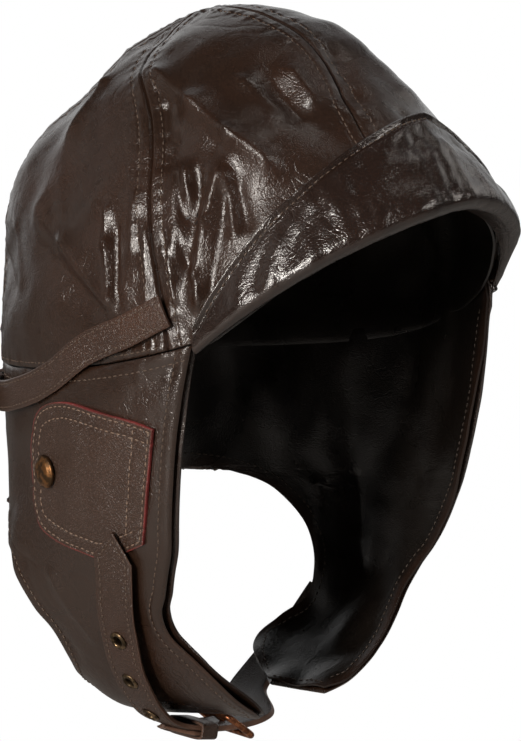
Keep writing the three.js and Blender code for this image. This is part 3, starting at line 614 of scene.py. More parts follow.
class Place:
    """A sheet's place on the form: angle and row for each share across and up."""

    def __init__(self, where, lift=0.0):
        self.where = where
        self.lift = lift

    def points(self, u, v, extra=None):
        angle, row = self.where(np.asarray(u, float), np.asarray(v, float))
        base = form_points(angle, row)
        height = relief(base, angle, row) + folded(base, CREASES, 1.5) + self.lift
        if extra is not None:
            height = height + extra(base)
        return base + form_normals(angle, row) * height[:, None]

    def rim(self, side):
        """Points along one side: left, right, foot or top."""
        run = np.linspace(0, 1, RIM_STEPS)
        low, high = 0 * run, 0 * run + 1
        u, v = {"left": (low, run), "right": (high, run), "foot": (run, low), "top": (run, high)}[side]
        return self.points(u, v)


def steps_of(line):
    """Distances between the points of a line."""
    return np.linalg.norm(np.diff(line, axis=0), axis=1)


def nearest(points, line):
    """Distance of each point from a line of points, and how far along it the nearest place is."""
    steps = steps_of(line)
    run = np.concatenate([[0], np.cumsum(steps)])
    behind, ahead = np.concatenate([[0], steps]) / 2, np.concatenate([steps, [0]]) / 2
    tangent = unit(np.gradient(line, axis=0))
    distance = np.empty(len(points))
    along = np.empty(len(points))
    for start in range(0, len(points), 4000):
        part = points[start:start + 4000]
        index = np.linalg.norm(part[:, None] - line[None], axis=2).argmin(axis=1)
        gap = part - line[index]
        shift = np.clip(np.sum(gap * tangent[index], axis=1), -behind[index], ahead[index])
        distance[start:start + 4000] = np.linalg.norm(gap - shift[:, None] * tangent[index], axis=1)
        along[start:start + 4000] = run[index] + shift
    return distance, along


def eased(share, dense=0.6):
    """Shares that lie closer together near both ends."""
    return share - dense * np.sin(2 * np.pi * share) / (2 * np.pi)


def grid_mesh(columns, rows, place):
    """A grid whose vertices are set on a surface; returns the bmesh with its shares as UVs."""
    bm = bmesh.new()
    bmesh.ops.create_grid(bm, x_segments=columns, y_segments=rows, size=0.5)
    shares = np.array([vertex.co[:2] for vertex in bm.verts]) + 0.5
    points = place(shares[:, 0], shares[:, 1])
    run, middle = np.linspace(0, 1, 60), np.full(60, 0.5)
    size = [steps_of(place(*way)).sum() * MM for way in ((run, middle), (middle, run))]
    for vertex, point in zip(bm.verts, points):
        vertex.co = point * MM
    uv_layer = bm.loops.layers.uv.new("sheet")
    for face in bm.faces:
        for loop in face.loops:
            loop[uv_layer].uv = shares[loop.vert.index] * size
    face_out(bm)
    return bm, points


def face_out(bm, middle=(0, 0, -0.01)):
    """Turns the faces of an open sheet or band away from a point inside it."""
    bm.normal_update()
    middle = Vector(middle)
    away = sum(face.calc_area() * face.normal.dot(face.calc_center_median() - middle) for face in bm.faces)
    if away < 0:
        bmesh.ops.reverse_faces(bm, faces=bm.faces)


def new_object(bm, name, looks, nodes=()):
    """Turns a bmesh into a piece that rides on the helmet."""
    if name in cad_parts:
        name = f"{name}_fine"
    mesh = bpy.data.meshes.new(name)
    for face in bm.faces:
        face.smooth = True
    bm.to_mesh(mesh)
    bm.free()
    piece = bpy.data.objects.new(name, mesh)
    bpy.context.scene.collection.objects.link(piece)
    for look in looks:
        mesh.materials.append(bpy.data.materials[look])
    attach(piece, "root")
    if nodes:
        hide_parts(*nodes)
    return piece


def store_edge(piece, distances):
    """Keeps the distance of each point from the edge, in millimetres, for the materials."""
    attribute = piece.data.attributes.new("edge", "FLOAT", "POINT")
    distances = np.broadcast_to(distances, len(piece.data.vertices))
    attribute.data.foreach_set("value", distances.astype(np.float32))


def thicken(piece, wall, round_edge=0.35, rim_look=0):
    """Gives a sheet its wall, inwards, and rounds its edges by a share of the wall."""
    solid = piece.modifiers.new("wall", "SOLIDIFY")
    solid.thickness = wall * MM
    solid.offset = -1
    solid.use_even_offset = False
    solid.material_offset_rim = rim_look
    soft = piece.modifiers.new("rounded edge", "BEVEL")
    soft.width = wall * round_edge * MM
    soft.segments = 2
    soft.limit_method = "ANGLE"
    soft.angle_limit = math.radians(ROUNDED_ANGLE)
    soft.use_clamp_overlap = True


def stitch_template():
    """One stitch of unit size, whose copies are set along each row."""
    bm = bmesh.new()
    bmesh.ops.create_uvsphere(bm, u_segments=6, v_segments=5, radius=1)
    mesh = bpy.data.meshes.new("stitch")
    bm.to_mesh(mesh)
    bm.free()
    return mesh, np.array([tuple(vertex.co) for vertex in mesh.vertices])


def stitch(bm, points, tree, sizes, sink=0.0, share=0.74):
    """A row of stitches along a line of points in millimetres, seated on the leather."""
    mesh, shape = stitch_template()
    run = np.concatenate([[0], np.cumsum(steps_of(points) * MM)])
    pitch = sizes.pitch * MM
    count = int(run[-1] / pitch)
    places = (np.arange(count) + 0.5) * run[-1] / max(count, 1)
    at, ahead = (np.stack([np.interp(places + step, run, points[:, k] * MM) for k in range(3)], -1)
                 for step in (0, pitch * 0.3))
    size = np.array((pitch * share / 2, sizes.thread * MM, sizes.thread * MM * STITCH_FLATNESS))
    for point, tip in zip(at, ahead):
        spot, normal, _, _ = tree.find_nearest(Vector(point))
        normal = np.array(normal)
        along = tip - point
        along = along - (along @ normal) * normal
        if np.linalg.norm(along) < 1e-9:
            continue
        along = unit(along)
        turn = np.stack([along, np.cross(normal, along), normal])
        places_now = (shape * size) @ turn + np.array(spot) + normal * (STITCH_LIFT - sink) * MM
        mesh.vertices.foreach_set("co", places_now.ravel())
        bm.from_mesh(mesh)
    bpy.data.meshes.remove(mesh)


def inset_line(line, distance, inward):
    """A line moved round the head by a distance, to the side on which a point lies."""
    depth = np.where(line[:, 1] < 0, FRONT_DEPTH, BACK_DEPTH)
    slopes = [line[:, 0] / HALF_WIDTH**2, line[:, 1] / depth**2, np.maximum(line[:, 2], 0) / CROWN_HEIGHT**2]
    side = unit(np.cross(np.stack(slopes, -1), np.gradient(line, axis=0)))
    if np.sum(side * (np.array(inward) - line)) < 0:
        side = -side
    return line + side * distance


# Materials
def shader_group(name, outputs, inputs):
    """A node group with its own input and output nodes."""
    group = bpy.data.node_groups.new(name, "ShaderNodeTree")
    for title, kind, default in inputs:
        socket = group.interface.new_socket(title, in_out="INPUT", socket_type=f"NodeSocket{kind}")
        if default is not None:
            socket.default_value = default
    for title, kind in outputs:
        group.interface.new_socket(title, in_out="OUTPUT", socket_type=f"NodeSocket{kind}")
    return group, group.nodes.new("NodeGroupInput"), group.nodes.new("NodeGroupOutput")


def add_node(tree, kind, settings=None, **links):
    """A node with its settings, and sockets linked or set by name."""
    node = tree.nodes.new(f"ShaderNode{kind}")
    for key, value in (settings or {}).items():
        setattr(node, key, value)
    for key, value in links.items():
        name = key.replace("_", " ")
        socket = node.inputs[int(key[1:])] if key[0] == "n" and key[1:].isdigit() else node.inputs[name]
        if isinstance(value, bpy.types.NodeSocket):
            tree.links.new(value, socket)
        else:
            socket.default_value = value
    return node


def maths(tree, operation, first, second=0.0):
    return add_node(tree, "Math", {"operation": operation}, n0=first, n1=second).outputs[0]


def ramp(tree, factor, low, high):
    """A value that goes from 0 to 1 between low and high."""
    node = add_node(tree, "MapRange", {"clamp": True, "interpolation_type": "SMOOTHSTEP"}, Value=factor)
    node.inputs["From Min"].default_value = low
    node.inputs["From Max"].default_value = high
    return node.outputs[0]


def varied(tree, value, amount, base):
    """A base value, changed by an amount that varies over the surface."""
    total = maths(tree, "MULTIPLY_ADD", value, amount)
    total.node.inputs[2].default_value = base
    return total


def blend_colours(tree, factor, first, second, mode="MIX"):
    """Two colours mixed by a factor; sockets 0, 6 and 7 of the node are its factor and colours."""
    node = tree.nodes.new("ShaderNodeMix")
    node.data_type = "RGBA"
    node.blend_type = mode
    for index, value in ((0, factor), (6, first), (7, second)):
        if isinstance(value, bpy.types.NodeSocket):
            tree.links.new(value, node.inputs[index])
        else:
            node.inputs[index].default_value = value
    return node.outputs[2]


def grain_group():
    """Fine pebbles, short wrinkles and soft hollows of lambskin, as one height and a mask of the grooves
    between the pebbles, which the tone darkens as painted shade.
    """
    group, start, end = shader_group(
        "Leather grain",
        [("Height", "Float"), ("Groove shade", "Float")],
        [("Vector", "Vector", None), ("Grain", "Float", 1.0), ("Creases", "Float", 1.0)],
    )
    vector = start.outputs["Vector"]
    pebble = add_node(group, "TexVoronoi", {"feature": "DISTANCE_TO_EDGE"}, Vector=vector, Scale=1100.0)
    pebbles = ramp(group, pebble.outputs["Distance"], 0.0, 0.3)
    height = maths(group, "MULTIPLY", pebbles, maths(group, "MULTIPLY", start.outputs["Grain"], 0.15))
    patchy = add_node(group, "TexNoise", None, Vector=vector, Scale=24.0, Detail=2.0)
    where = ramp(group, patchy.outputs[0], 0.42, 0.62)
    for scale, width, depth, everywhere in ((480.0, 0.1, 0.12, 0.4), (170.0, 0.05, 0.3, 0.08)):
        field = add_node(group, "TexNoise", None, Vector=vector, Scale=scale, Detail=2.0, Distortion=0.6)
        gap = maths(group, "ABSOLUTE", maths(group, "SUBTRACT", field.outputs[0], 0.5))
        amount = maths(group, "ADD", maths(group, "MULTIPLY", where, 1 - everywhere), everywhere)
        amount = maths(group, "MULTIPLY", amount, maths(group, "MULTIPLY", start.outputs["Creases"], depth))
        height = maths(group, "ADD", height, maths(group, "MULTIPLY", ramp(group, gap, 0.0, width), amount))
    hollow = add_node(group, "TexNoise", None, Vector=vector, Scale=60.0, Detail=2.0)
    deep = maths(group, "MULTIPLY", start.outputs["Creases"], 0.7)
    hollows = maths(group, "MULTIPLY", hollow.outputs[0], deep)
    group.links.new(maths(group, "ADD", height, hollows), end.inputs["Height"])
    group.links.new(pebbles, end.inputs["Groove shade"])


def tone_group():
    """Cloudy colour of worn leather, with painted shade in the grooves between its pebbles, and a border of
    another colour along its edges, rubbed lighter and on the brim's piping also a painted highlight.
    """
    group, start, end = shader_group(
        "Leather tone",
        [("Color", "Color"), ("Shine", "Float")],
        [("Vector", "Vector", None), ("Base", "Color", (0.04, 0.025, 0.02, 1)), ("Groove shade", "Float", 1.0),
         ("Edge", "Float", 10.0), ("Rub", "Color", (0.1, 0.06, 0.04, 1)), ("Width", "Float", 1.1)],
    )
    vector = start.outputs["Vector"]
    cloud = add_node(group, "TexNoise", None, Vector=vector, Scale=24.0, Detail=4.0)
    broad = add_node(group, "TexNoise", None, Vector=vector, Scale=9.0, Detail=2.0)
    clouds = ramp(group, cloud.outputs[0], 0.3, 0.7)
    base = start.outputs["Base"]
    warm = blend_colours(group, 1.0, base, (1.25, 1.0, 0.82, 1), "MULTIPLY")
    cool = blend_colours(group, 1.0, base, (0.82, 0.86, 0.92, 1), "MULTIPLY")
    colour = blend_colours(group, clouds, cool, warm)
    colour = blend_colours(group, ramp(group, broad.outputs[0], 0.35, 0.65), colour, base)
    # Painted shade: the grooves between the pebbles darken the colour to 0.6 of itself, and the pebbles' tops
    # lighten it to 1.1.
    groove_shade = maths(group, "ADD", maths(group, "MULTIPLY", start.outputs["Groove shade"], 0.5), 0.6)
    groove_shade_colour = add_node(group, "CombineColor", None, Red=groove_shade, Green=groove_shade, Blue=groove_shade)
    colour = blend_colours(group, 1.0, colour, groove_shade_colour.outputs[0], "MULTIPLY")
    # Border along the edge: rubbed lighter leather, a raw edge or a lining rim, and on the brim's piping also
    # a painted highlight.
    reach = maths(group, "DIVIDE", start.outputs["Edge"], start.outputs["Width"])
    rub = maths(group, "SUBTRACT", 1.0, ramp(group, reach, 0.3, 1.0))
    colour = blend_colours(group, maths(group, "MULTIPLY", rub, 0.8), colour, start.outputs["Rub"])
    shine = maths(group, "SUBTRACT", clouds, 0.5)
    group.links.new(colour, end.inputs["Color"])
    group.links.new(shine, end.inputs["Shine"])


def new_look(name):
    """A material with its node tree and its shader."""
    look = bpy.data.materials.new(name)
    look.use_nodes = True
    return look, look.node_tree, look.node_tree.nodes["Principled BSDF"]


def add_bump(tree, shader, height, strength, depth):
    node = add_node(tree, "Bump", None, Height=height, Strength=strength, Distance=depth * MM)
    tree.links.new(node.outputs[0], shader.inputs["Normal"])


def scaled(colour, share):
    """A colour made lighter or darker."""
    return [share * part for part in colour]


def leather_look(name, base, roughness, grain=1.0, creases=1.0, depth=0.24, rub=None, width=0.9, gloss=0.5):
    """Leather: depth of its grain and width of the border colour along its edge, both in millimetres."""
    _, tree, shader = new_look(name)
    place = add_node(tree, "TexCoord").outputs["Object"]
    groups = bpy.data.node_groups
    skin = add_node(tree, "Group", {"node_tree": groups["Leather grain"]}, Vector=place, Grain=grain,
                    Creases=creases)
    edge = add_node(tree, "Attribute", {"attribute_name": "edge"}).outputs["Fac"]
    tone = add_node(tree, "Group", {"node_tree": groups["Leather tone"]}, Vector=place,
                    Base=(*base, 1), Rub=(*(rub or scaled(base, 1.9)), 1), Width=width)
    tree.links.new(skin.outputs["Groove shade"], tone.inputs["Groove shade"])
    tree.links.new(edge, tone.inputs["Edge"])
    tree.links.new(tone.outputs["Color"], shader.inputs["Base Color"])
    tree.links.new(varied(tree, tone.outputs["Shine"], 0.12, roughness), shader.inputs["Roughness"])
    shader.inputs["Specular IOR Level"].default_value = gloss
    add_bump(tree, shader, skin.outputs["Height"], 1.0, depth)


def metal_look(name, base, tarnish, roughness=0.38):
    """Antique metal with dark patches and fine scratches."""
    _, tree, shader = new_look(name)
    place = add_node(tree, "TexCoord").outputs["Object"]
    spots = add_node(tree, "TexNoise", None, Vector=place, Scale=420.0, Detail=4.0)
    patina = ramp(tree, spots.outputs[0], 0.42, 0.62)
    colour = blend_colours(tree, patina, (*tarnish, 1), (*base, 1))
    tree.links.new(colour, shader.inputs["Base Color"])
    tree.links.new(varied(tree, patina, -0.16, roughness + 0.12), shader.inputs["Roughness"])
    shader.inputs["Metallic"].default_value = 0.92
    scratches = add_node(tree, "TexNoise", None, Vector=place, Scale=1500.0, Detail=2.0)
    add_bump(tree, shader, scratches.outputs[0], 0.5, 0.05)


def thread_look(name, base):
    """Twisted thread, with painted shade darkening the gaps between its strands."""
    _, tree, shader = new_look(name)
    place = add_node(tree, "TexCoord").outputs["Object"]
    wave = add_node(tree, "TexWave", {"bands_direction": "DIAGONAL"}, Vector=place, Scale=900.0,
                    Distortion=2.0)
    strands = wave.outputs[1]
    # Painted shade: the gaps between the strands are darkened to 0.6 of the thread's colour.
    tone = blend_colours(tree, strands, (*scaled(base, 0.6), 1), (*base, 1))
    tree.links.new(tone, shader.inputs["Base Color"])
    shader.inputs["Roughness"].default_value = 0.55
    add_bump(tree, shader, strands, 0.6, 0.08)


def make_looks(colours):
    grain_group()
    tone_group()
    leather_look("crown leather", colours.leather, 0.28, gloss=0.7)
    # The brim's wide lighter border along its piped edge is rubbing and also a painted highlight on the
    # piping.
    leather_look("brim leather", colours.brim, 0.24, creases=1.3, width=2.0, gloss=1.0)
    leather_look("patch leather", colours.patch, 0.38, grain=1.9, creases=0.6, depth=0.45,
                 rub=tuple(colours.raw_edge), width=1.3)
    leather_look("strap leather", colours.strap, 0.38, grain=2.0, creases=0.6, depth=0.45)
    leather_look("black lining", colours.lining, 0.3, creases=0.5, rub=tuple(colours.brim), width=5.5)
    leather_look("raw edge", colours.raw_edge, 0.8, grain=2.0, creases=0.2)
    leather_look("cut edge", scaled(colours.strap, 2.0), 0.6, grain=2.0, creases=0.2)
    thread_look("thread", colours.thread)
    thread_look("light thread", scaled(colours.thread, 2.2))
    thread_look("dark thread", scaled(colours.thread, 0.5))
    metal_look("antique brass", colours.brass, (0.05, 0.035, 0.02))
    metal_look("antique copper", colours.snap, (0.07, 0.04, 0.02))
    metal_look("buckle copper", colours.copper, (0.16, 0.06, 0.03), 0.3)


# Crown
def seam_angle(index, v):
    """Angle of a crown seam at a share of the way up."""
    return between(SEAMS[index % len(SEAMS)], v * (SEAMS.shape[1] - 1)) + (360 if index >= len(SEAMS) else 0)


def crown_place(panel):
    def where(u, v):
        angle = seam_angle(panel, v) * (1 - u) + seam_angle(panel + 1, v) * u
        foot = crown_edge_row(seam_angle(panel, 0 * v) * (1 - u) + seam_angle(panel + 1, 0 * v) * u)
        return angle, foot + (CROWN_SPAN * APEX_REACH - foot) * v
    return Place(where)


def crown_panel(panel, sizes):
    """The outer sheet of a panel, its points, and its left, right and lower rim."""
    place = crown_place(panel)
    left, right, foot = place.rim("left"), place.rim("right"), place.rim("foot")

    def surface(u, v):
        u = eased(u)

        def extra(base):
            rough = place.points(u, v)
            to_left, left_run = nearest(rough, left)
            to_right, right_run = nearest(rough, right)
            to_foot, foot_run = nearest(rough, foot)
            calm = 1 - 0.6 * step_down(np.minimum(to_left, to_right), 4, 1.2)
            height = seam_relief(to_left, sizes.seam, left_run) + seam_relief(to_right, sizes.seam, right_run)
            height += seam_relief(to_foot, sizes.seam - CROWN_FOOT_NEARER, foot_run + FOOT_PUCKER_SHIFT,
                                  SIDE_GROOVE)
            return height + calm * soft_relief(base, CROWN_SEED)
        return place.points(u, v, extra)

    return *grid_mesh(*PANEL_GRIDS[panel], surface), (left, right, foot)


class HELMET_OT_crown(bpy.types.Operator):
    """Six crown panels with their seams and stitches"""

    bl_idname = "helmet.crown"
    bl_label = "Crown"

    def execute(self, context):
        sizes = context.scene.helmet_sizes
        stitches = bmesh.new()
        for panel, name in enumerate(PANELS):
            bm, points, (left, right, foot) = crown_panel(panel, sizes)
            tree, middle = BVHTree.FromBMesh(bm), points.mean(axis=0)
            wide = np.linalg.norm(left - right, axis=1) > 3 * sizes.seam
            rows = ((left[wide], sizes.seam), (right[wide], sizes.seam),
                    (foot, sizes.seam - CROWN_FOOT_NEARER))
            for line, distance in rows:
                row = inset_line(line[CROWN_TRIM:-CROWN_TRIM], distance, middle)
                stitch(stitches, row, tree, sizes, sink=CROWN_STITCH_SINK)
            piece = new_object(bm, f"crown_{name}", ["crown leather"], [f"crown_{name}"])
            store_edge(piece, np.minimum(nearest(points, left)[0], nearest(points, right)[0]) + 0.8)
            thicken(piece, sizes.leather, round_edge=0.2)
        new_object(stitches, "crown_stitches", ["thread"])
        return {"FINISHED"}


class HELMET_OT_crown_lining(bpy.types.Operator):
    """Black lining inside the crown"""

    bl_idname = "helmet.crown_lining"
    bl_label = "Crown lining"

    def execute(self, context):
        sizes = context.scene.helmet_sizes
        lift = -sizes.leather - LINING_GAP

        def where(u, v):
            along = u * len(SEAMS) * 0.99999
            panel = np.floor(along).astype(int)
            share = along - panel
            table = np.vstack([SEAMS, SEAMS[:1] + 360])
            steps = v * (SEAMS.shape[1] - 1)
            columns = np.stack([between(row, steps) for row in table])
            feet = table[:, 0]
            pick = np.arange(len(along))
            angle = columns[panel, pick] * (1 - share) + columns[panel + 1, pick] * share
            foot = crown_edge_row(feet[panel] * (1 - share) + feet[panel + 1] * share) - LINING_HANG
            return angle, foot + (CROWN_SPAN * APEX_REACH - foot) * v

        place = Place(where, lift)

        def surface(u, v):
            tuck = 1.3 * step_down(v, 0.05, 0.015)
            return place.points(u, v, lambda base: 0.9 * soft_relief(base, CROWN_LINING_SEED) - 0.5 - tuck)

        bm, _ = grid_mesh(*CROWN_LINING_GRID, surface)
        bmesh.ops.remove_doubles(bm, verts=bm.verts, dist=0.00001)
        piece = new_object(bm, "crown_lining", ["black lining"], ["crown_lining"])
        store_edge(piece, 9)
        thicken(piece, sizes.lining, round_edge=0.3)
        return {"FINISHED"}


# Brim
def brim_centre(angle, place):
    share = angle / FACE_HALF_ANGLE
    droop = np.where(angle > 0, BRIM_LEFT_DROOP * share, 0)
    reach = BRIM_REACH * (1 - BRIM_REACH_FADE * share**2) * (1 - BRIM_LEFT_TUCK * droop)
    reach = reach * (1 - BRIM_END_TUCK * share**12)
    lean = BRIM_LEAN * np.maximum(0, 1 - share**2) * np.maximum(0, 1 - BRIM_LEFT_UPRIGHT * droop**2)
    band = BRIM_BAND * (1 - BRIM_BAND_FADE * np.abs(share) ** 5 - droop)
    row = crown_edge_row(angle)
    base = form_points(angle, row)
    edge = base + form_normals(angle, row) * relief(base, angle, row)[:, None]
    turn = np.radians(angle)
    out = unit(np.stack([np.sin(turn) / HALF_WIDTH, -np.cos(turn) / FRONT_DEPTH, 0 * angle], -1))
    shift = reach * between(BRIM_PROFILE[:, 0], place) - lean * between(BRIM_PROFILE[:, 1], place)
    edge = edge + out * shift[:, None]
    edge[:, 2] = face_edge(angle) - BRIM_SEAT + band * between(BRIM_PROFILE[:, 2], place)
    return edge


def brim_surface(u, v):
    """Points of the brim's middle sheet and their normals."""
    first, last = -(RIGHT_CORNER - 0.5), LEFT_CORNER + 1
    angle = first + (last - first) * u
    top = len(BRIM_PROFILE) - 1
    at = v * top
    round_head = brim_centre(angle + 0.5, at) - brim_centre(angle - 0.5, at)
    up = brim_centre(angle, np.minimum(at + 0.05, top)) - brim_centre(angle, np.maximum(at - 0.05, 0))
    return brim_centre(angle, at), unit(np.cross(round_head, up))


class HELMET_OT_brim(bpy.types.Operator):
    """Turned-up brim with its piped edge and stitches"""

    bl_idname = "helmet.brim"
    bl_label = "Brim"

    def execute(self, context):
        sizes = context.scene.helmet_sizes

        def surface(u, v):
            base, normal = brim_surface(u, v)
            run = np.linspace(0, 1, 300)
            to_free, _ = nearest(base, brim_surface(run, 0 * run + 1)[0])
            height = sizes.brim / 2 + sum(rise * bump(to_free, at, spread) for rise, at, spread in PIPING)
            height -= np.maximum(0, 1 - to_free / PIPING_ROUND) ** 2
            calm = 1 - step_down(to_free, 4, 1) * 0.8
            grow = np.clip(v * 2 - 0.5, 0, 1)
            fine, cross, broad, sharp = BRIM_SEEDS
            folds = waves(base * (1, 1, 0.25), 7.5, fine) * 0.16 + waves(base * (1, 1, 0.4), 14, cross) * 0.3
            folds = folds + 0.5 * waves(base, 34, broad) + 0.2 * crinkles(base, 15, sharp)
            height = height + calm * grow * folds
            return base + normal * height[:, None]

        bm, points = grid_mesh(*BRIM_GRID, surface)
        tree = BVHTree.FromBMesh(bm)
        stitches = bmesh.new()
        run = np.linspace(0.02, 0.98, 300)
        free, below = (brim_surface(run, 0 * run + share)[0] for share in (1, 0.93))
        stitch(stitches, free + unit(below - free) * BRIM_ROW, tree, sizes)
        piece = new_object(bm, "brim", ["brim leather"], ["brim"])
        store_edge(piece, nearest(points, free)[0])
        thicken(piece, sizes.brim, round_edge=0.35)
        new_object(stitches, "brim_stitches", ["thread"])
        return {"FINISHED"}


# Ear flaps with the neck half behind them
def flap_place(side, outline, lift=0.0, grow=0.0):
    corner = (RIGHT_CORNER if side < 0 else LEFT_CORNER) + 0.5

    def seam_row(angle):
        return -row_at(seam_height(side * angle) - SEAM_GAP)

    table = np.array([(corner, seam_row(corner), 180, seam_row(180.0)), *outline])

    def where(u, v):
        at = v * (len(table) - 1)
        front, front_row, rear, rear_row = (between(table[:, k], at) for k in range(4))
        angle = np.minimum(BACK_MEETING, front * (1 - u) + rear * u)
        angle = angle - grow * (1 - u) ** 12 * np.minimum(1, at)
        seam = seam_row(table[0, 0] * (1 - u) + 180 * u) - (table[0, 1] * (1 - u) + table[0, 3] * u)
        row = front_row * (1 - u) + rear_row * u + seam * np.maximum(0, 1 - at / 5)
        return side * angle, -row
    return Place(where, lift)


class HELMET_OT_flaps(bpy.types.Operator):
    """Ear flaps with the neck, their linings and hem stitches"""

    bl_idname = "helmet.flaps"
    bl_label = "Ear flaps"

    def execute(self, context):
        sizes = context.scene.helmet_sizes
        for name, side, outline in (("right", -1, RIGHT_FLAP), ("left", 1, LEFT_FLAP)):
            seed = FLAP_SEEDS[name]
            place = flap_place(side, outline)
            split = round(RIM_STEPS * NECK_ROWS / len(outline))
            hems = [place.rim("left"), place.rim("right")[split:], place.rim("top")]
            back = place.rim("right")[:split]
            seam = place.rim("foot")

            def surface(u, v, place=place, hems=hems, seam=seam, back=back, seed=seed):
                def extra(base):
                    rough = place.points(u, v)
                    hem = np.min([nearest(rough, line)[0] for line in hems], axis=0)
                    to_seam, run = nearest(rough, seam)
                    to_back, back_run = nearest(rough, back)
                    height = hem_relief(hem)
                    height += seam_relief(to_seam, sizes.seam - FLAP_TOP_NEARER, run, SIDE_GROOVE)
                    height += seam_relief(to_back, sizes.seam, back_run, BACK_GROOVE)
                    return height + 0.75 * (1 - 0.6 * step_down(hem, 5, 1.5)) * soft_relief(base, seed)
                return place.points(u, v, extra)

            bm, points = grid_mesh(*FLAP_GRID, surface)
            tree, middle, stitches = BVHTree.FromBMesh(bm), points.mean(axis=0), bmesh.new()
            rows = ((hems[0][FLAP_TRIM:], sizes.seam), (hems[1][:-FLAP_TRIM], sizes.seam),
                    (hems[2], sizes.seam),
                    (seam[FLAP_SEAM_TRIM:-FLAP_SEAM_TRIM], sizes.seam - FLAP_TOP_NEARER), (back, sizes.seam))
            for line, distance in rows:
                stitch(stitches, inset_line(line, distance, middle), tree, sizes)
            piece = new_object(bm, f"flap_{name}", ["crown leather"], [f"flap_{name}"])
            store_edge(piece, np.min([nearest(points, line)[0] for line in hems], axis=0))
            thicken(piece, sizes.leather)
            new_object(stitches, f"flap_stitches_{name}", ["thread"])

            def inner_relief(base, seed=seed):
                pleats = waves(base * (1, 1, 0.4), 24, FLAP_LINING_SEED)
                return 0.75 * soft_relief(base, seed) - 0.5 - 0.6 * pleats

            inner = flap_place(side, outline, -sizes.leather - LINING_GAP, grow=0.9)
            bm, points = grid_mesh(*FLAP_LINING_GRID, lambda u, v: inner.points(u, v, inner_relief))
            rims = [inner.rim("left"), inner.rim("right")[split:], inner.rim("top")]
            tree, middle, stitches = BVHTree.FromBMesh(bm), points.mean(axis=0), bmesh.new()
            for line in rims:
                row = inset_line(line[LINING_TRIM:-LINING_TRIM], HEM_ROW, middle)
                stitch(stitches, row, tree, sizes, sink=sizes.lining + 0.1)
            piece = new_object(bm, f"flap_lining_{name}", ["black lining"], [f"flap_lining_{name}"])
            store_edge(piece, np.min([nearest(points, line)[0] for line in rims], axis=0) + 0.3)
            thicken(piece, sizes.lining, round_edge=0.3)
            new_object(stitches, f"lining_stitches_{name}", ["dark thread"])
        return {"FINISHED"}


# Ear patches with their snap buttons
def patch_place(side, lift):
    def where(u, v):
        at = u * (len(PATCH) - 1)
        top, top_row, foot, foot_row = (between(PATCH[:, k], at) for k in range(4))
        return side * (top * (1 - v) + foot * v), -(top_row * (1 - v) + foot_row * v)
    return Place(where, lift)


def turned_piece(profile, matrix):
    """Spins a profile of radius and height into a round body and places it."""
    bm = bmesh.new()
    start = [bm.verts.new((radius * MM, 0, height * MM)) for radius, height in profile]
    edges = [bm.edges.new(pair) for pair in zip(start, start[1:])]
    bmesh.ops.spin(bm, geom=start + edges, axis=(0, 0, 1), cent=(0, 0, 0), angle=2 * math.pi,
                   steps=SPIN_STEPS, use_merge=True)
    bmesh.ops.remove_doubles(bm, verts=bm.verts, dist=0.000001)
    bmesh.ops.recalc_face_normals(bm, faces=bm.faces)
    bmesh.ops.transform(bm, matrix=matrix, verts=bm.verts)
    return bm


def basis(point, x_axis, y_axis, z_axis):
    turn = Matrix((Vector(x_axis), Vector(y_axis), Vector(z_axis))).transposed().to_4x4()
    return Matrix.Translation(Vector(point) * MM) @ turn


class HELMET_OT_ear_patches(bpy.types.Operator):
    """Ear patches with stitches, raw edge and snap buttons"""

    bl_idname = "helmet.ear_patches"
    bl_label = "Ear patches"

    def execute(self, context):
        sizes = context.scene.helmet_sizes
        lift = CLEARANCE + sizes.patch
        for name, side in (("right", -1), ("left", 1)):
            place = patch_place(side, lift)
            rims = {key: place.rim(key) for key in ("left", "right", "foot", "top")}

            def surface(u, v, place=place, rims=rims):
                def extra(base):
                    rough = place.points(u, v)
                    gaps = {key: nearest(rough, line)[0] for key, line in rims.items()}
                    to_rim = np.min(list(gaps.values()), axis=0)
                    dips = PATCH_EDGE_DIP * bump(to_rim, PATCH_EDGE_ROW, PATCH_EDGE_DIP_WIDTH)
                    for key, gap in gaps.items():
                        dips = np.maximum(dips, PATCH_DIP * bump(gap, PATCH_ROWS[key], PATCH_DIP_WIDTH))
                    return PATCH_WAVE * waves(base, PATCH_WAVE_LENGTH, PATCH_SEED) - dips
                return place.points(u, v, extra)

            bm, points = grid_mesh(*PATCH_GRID, surface)
            tree, middle, stitches = BVHTree.FromBMesh(bm), points.mean(axis=0), bmesh.new()
            for key, distance in PATCH_ROWS.items():
                for trim, away in ((PATCH_EDGE_TRIM, PATCH_EDGE_ROW), (PATCH_TRIM, distance)):
                    stitch(stitches, inset_line(rims[key][trim:-trim], away, middle), tree, sizes)
            piece = new_object(bm, f"ear_patch_{name}", ["patch leather", "raw edge"],
                               [f"ear_patch_{name}"])
            store_edge(piece, np.min([nearest(points, line)[0] for line in rims.values()], axis=0) + 0.5)
            thicken(piece, sizes.patch, round_edge=0.15, rim_look=1)
            new_object(stitches, f"patch_stitches_{name}", ["light thread"])

            angle, row = side * SNAP_PLACE[0], -SNAP_PLACE[1]
            base = form_points([angle], [row])
            up = form_normals([angle], [row])[0]
            across = unit(np.cross((0, 0, 1), up))
            spot = base[0] + up * (relief(base, np.array([angle]), np.array([row]))[0] + lift + CLEARANCE)
            profile = [(radius * SNAP_RADIUS, height * SNAP_HEIGHT) for radius, height in SNAP_PROFILE]
            bm = turned_piece(profile, basis(spot, across, np.cross(up, across), up))
            new_object(bm, f"snap_{name}", ["antique copper"], [f"snap_{name}"])
        return {"FINISHED"}


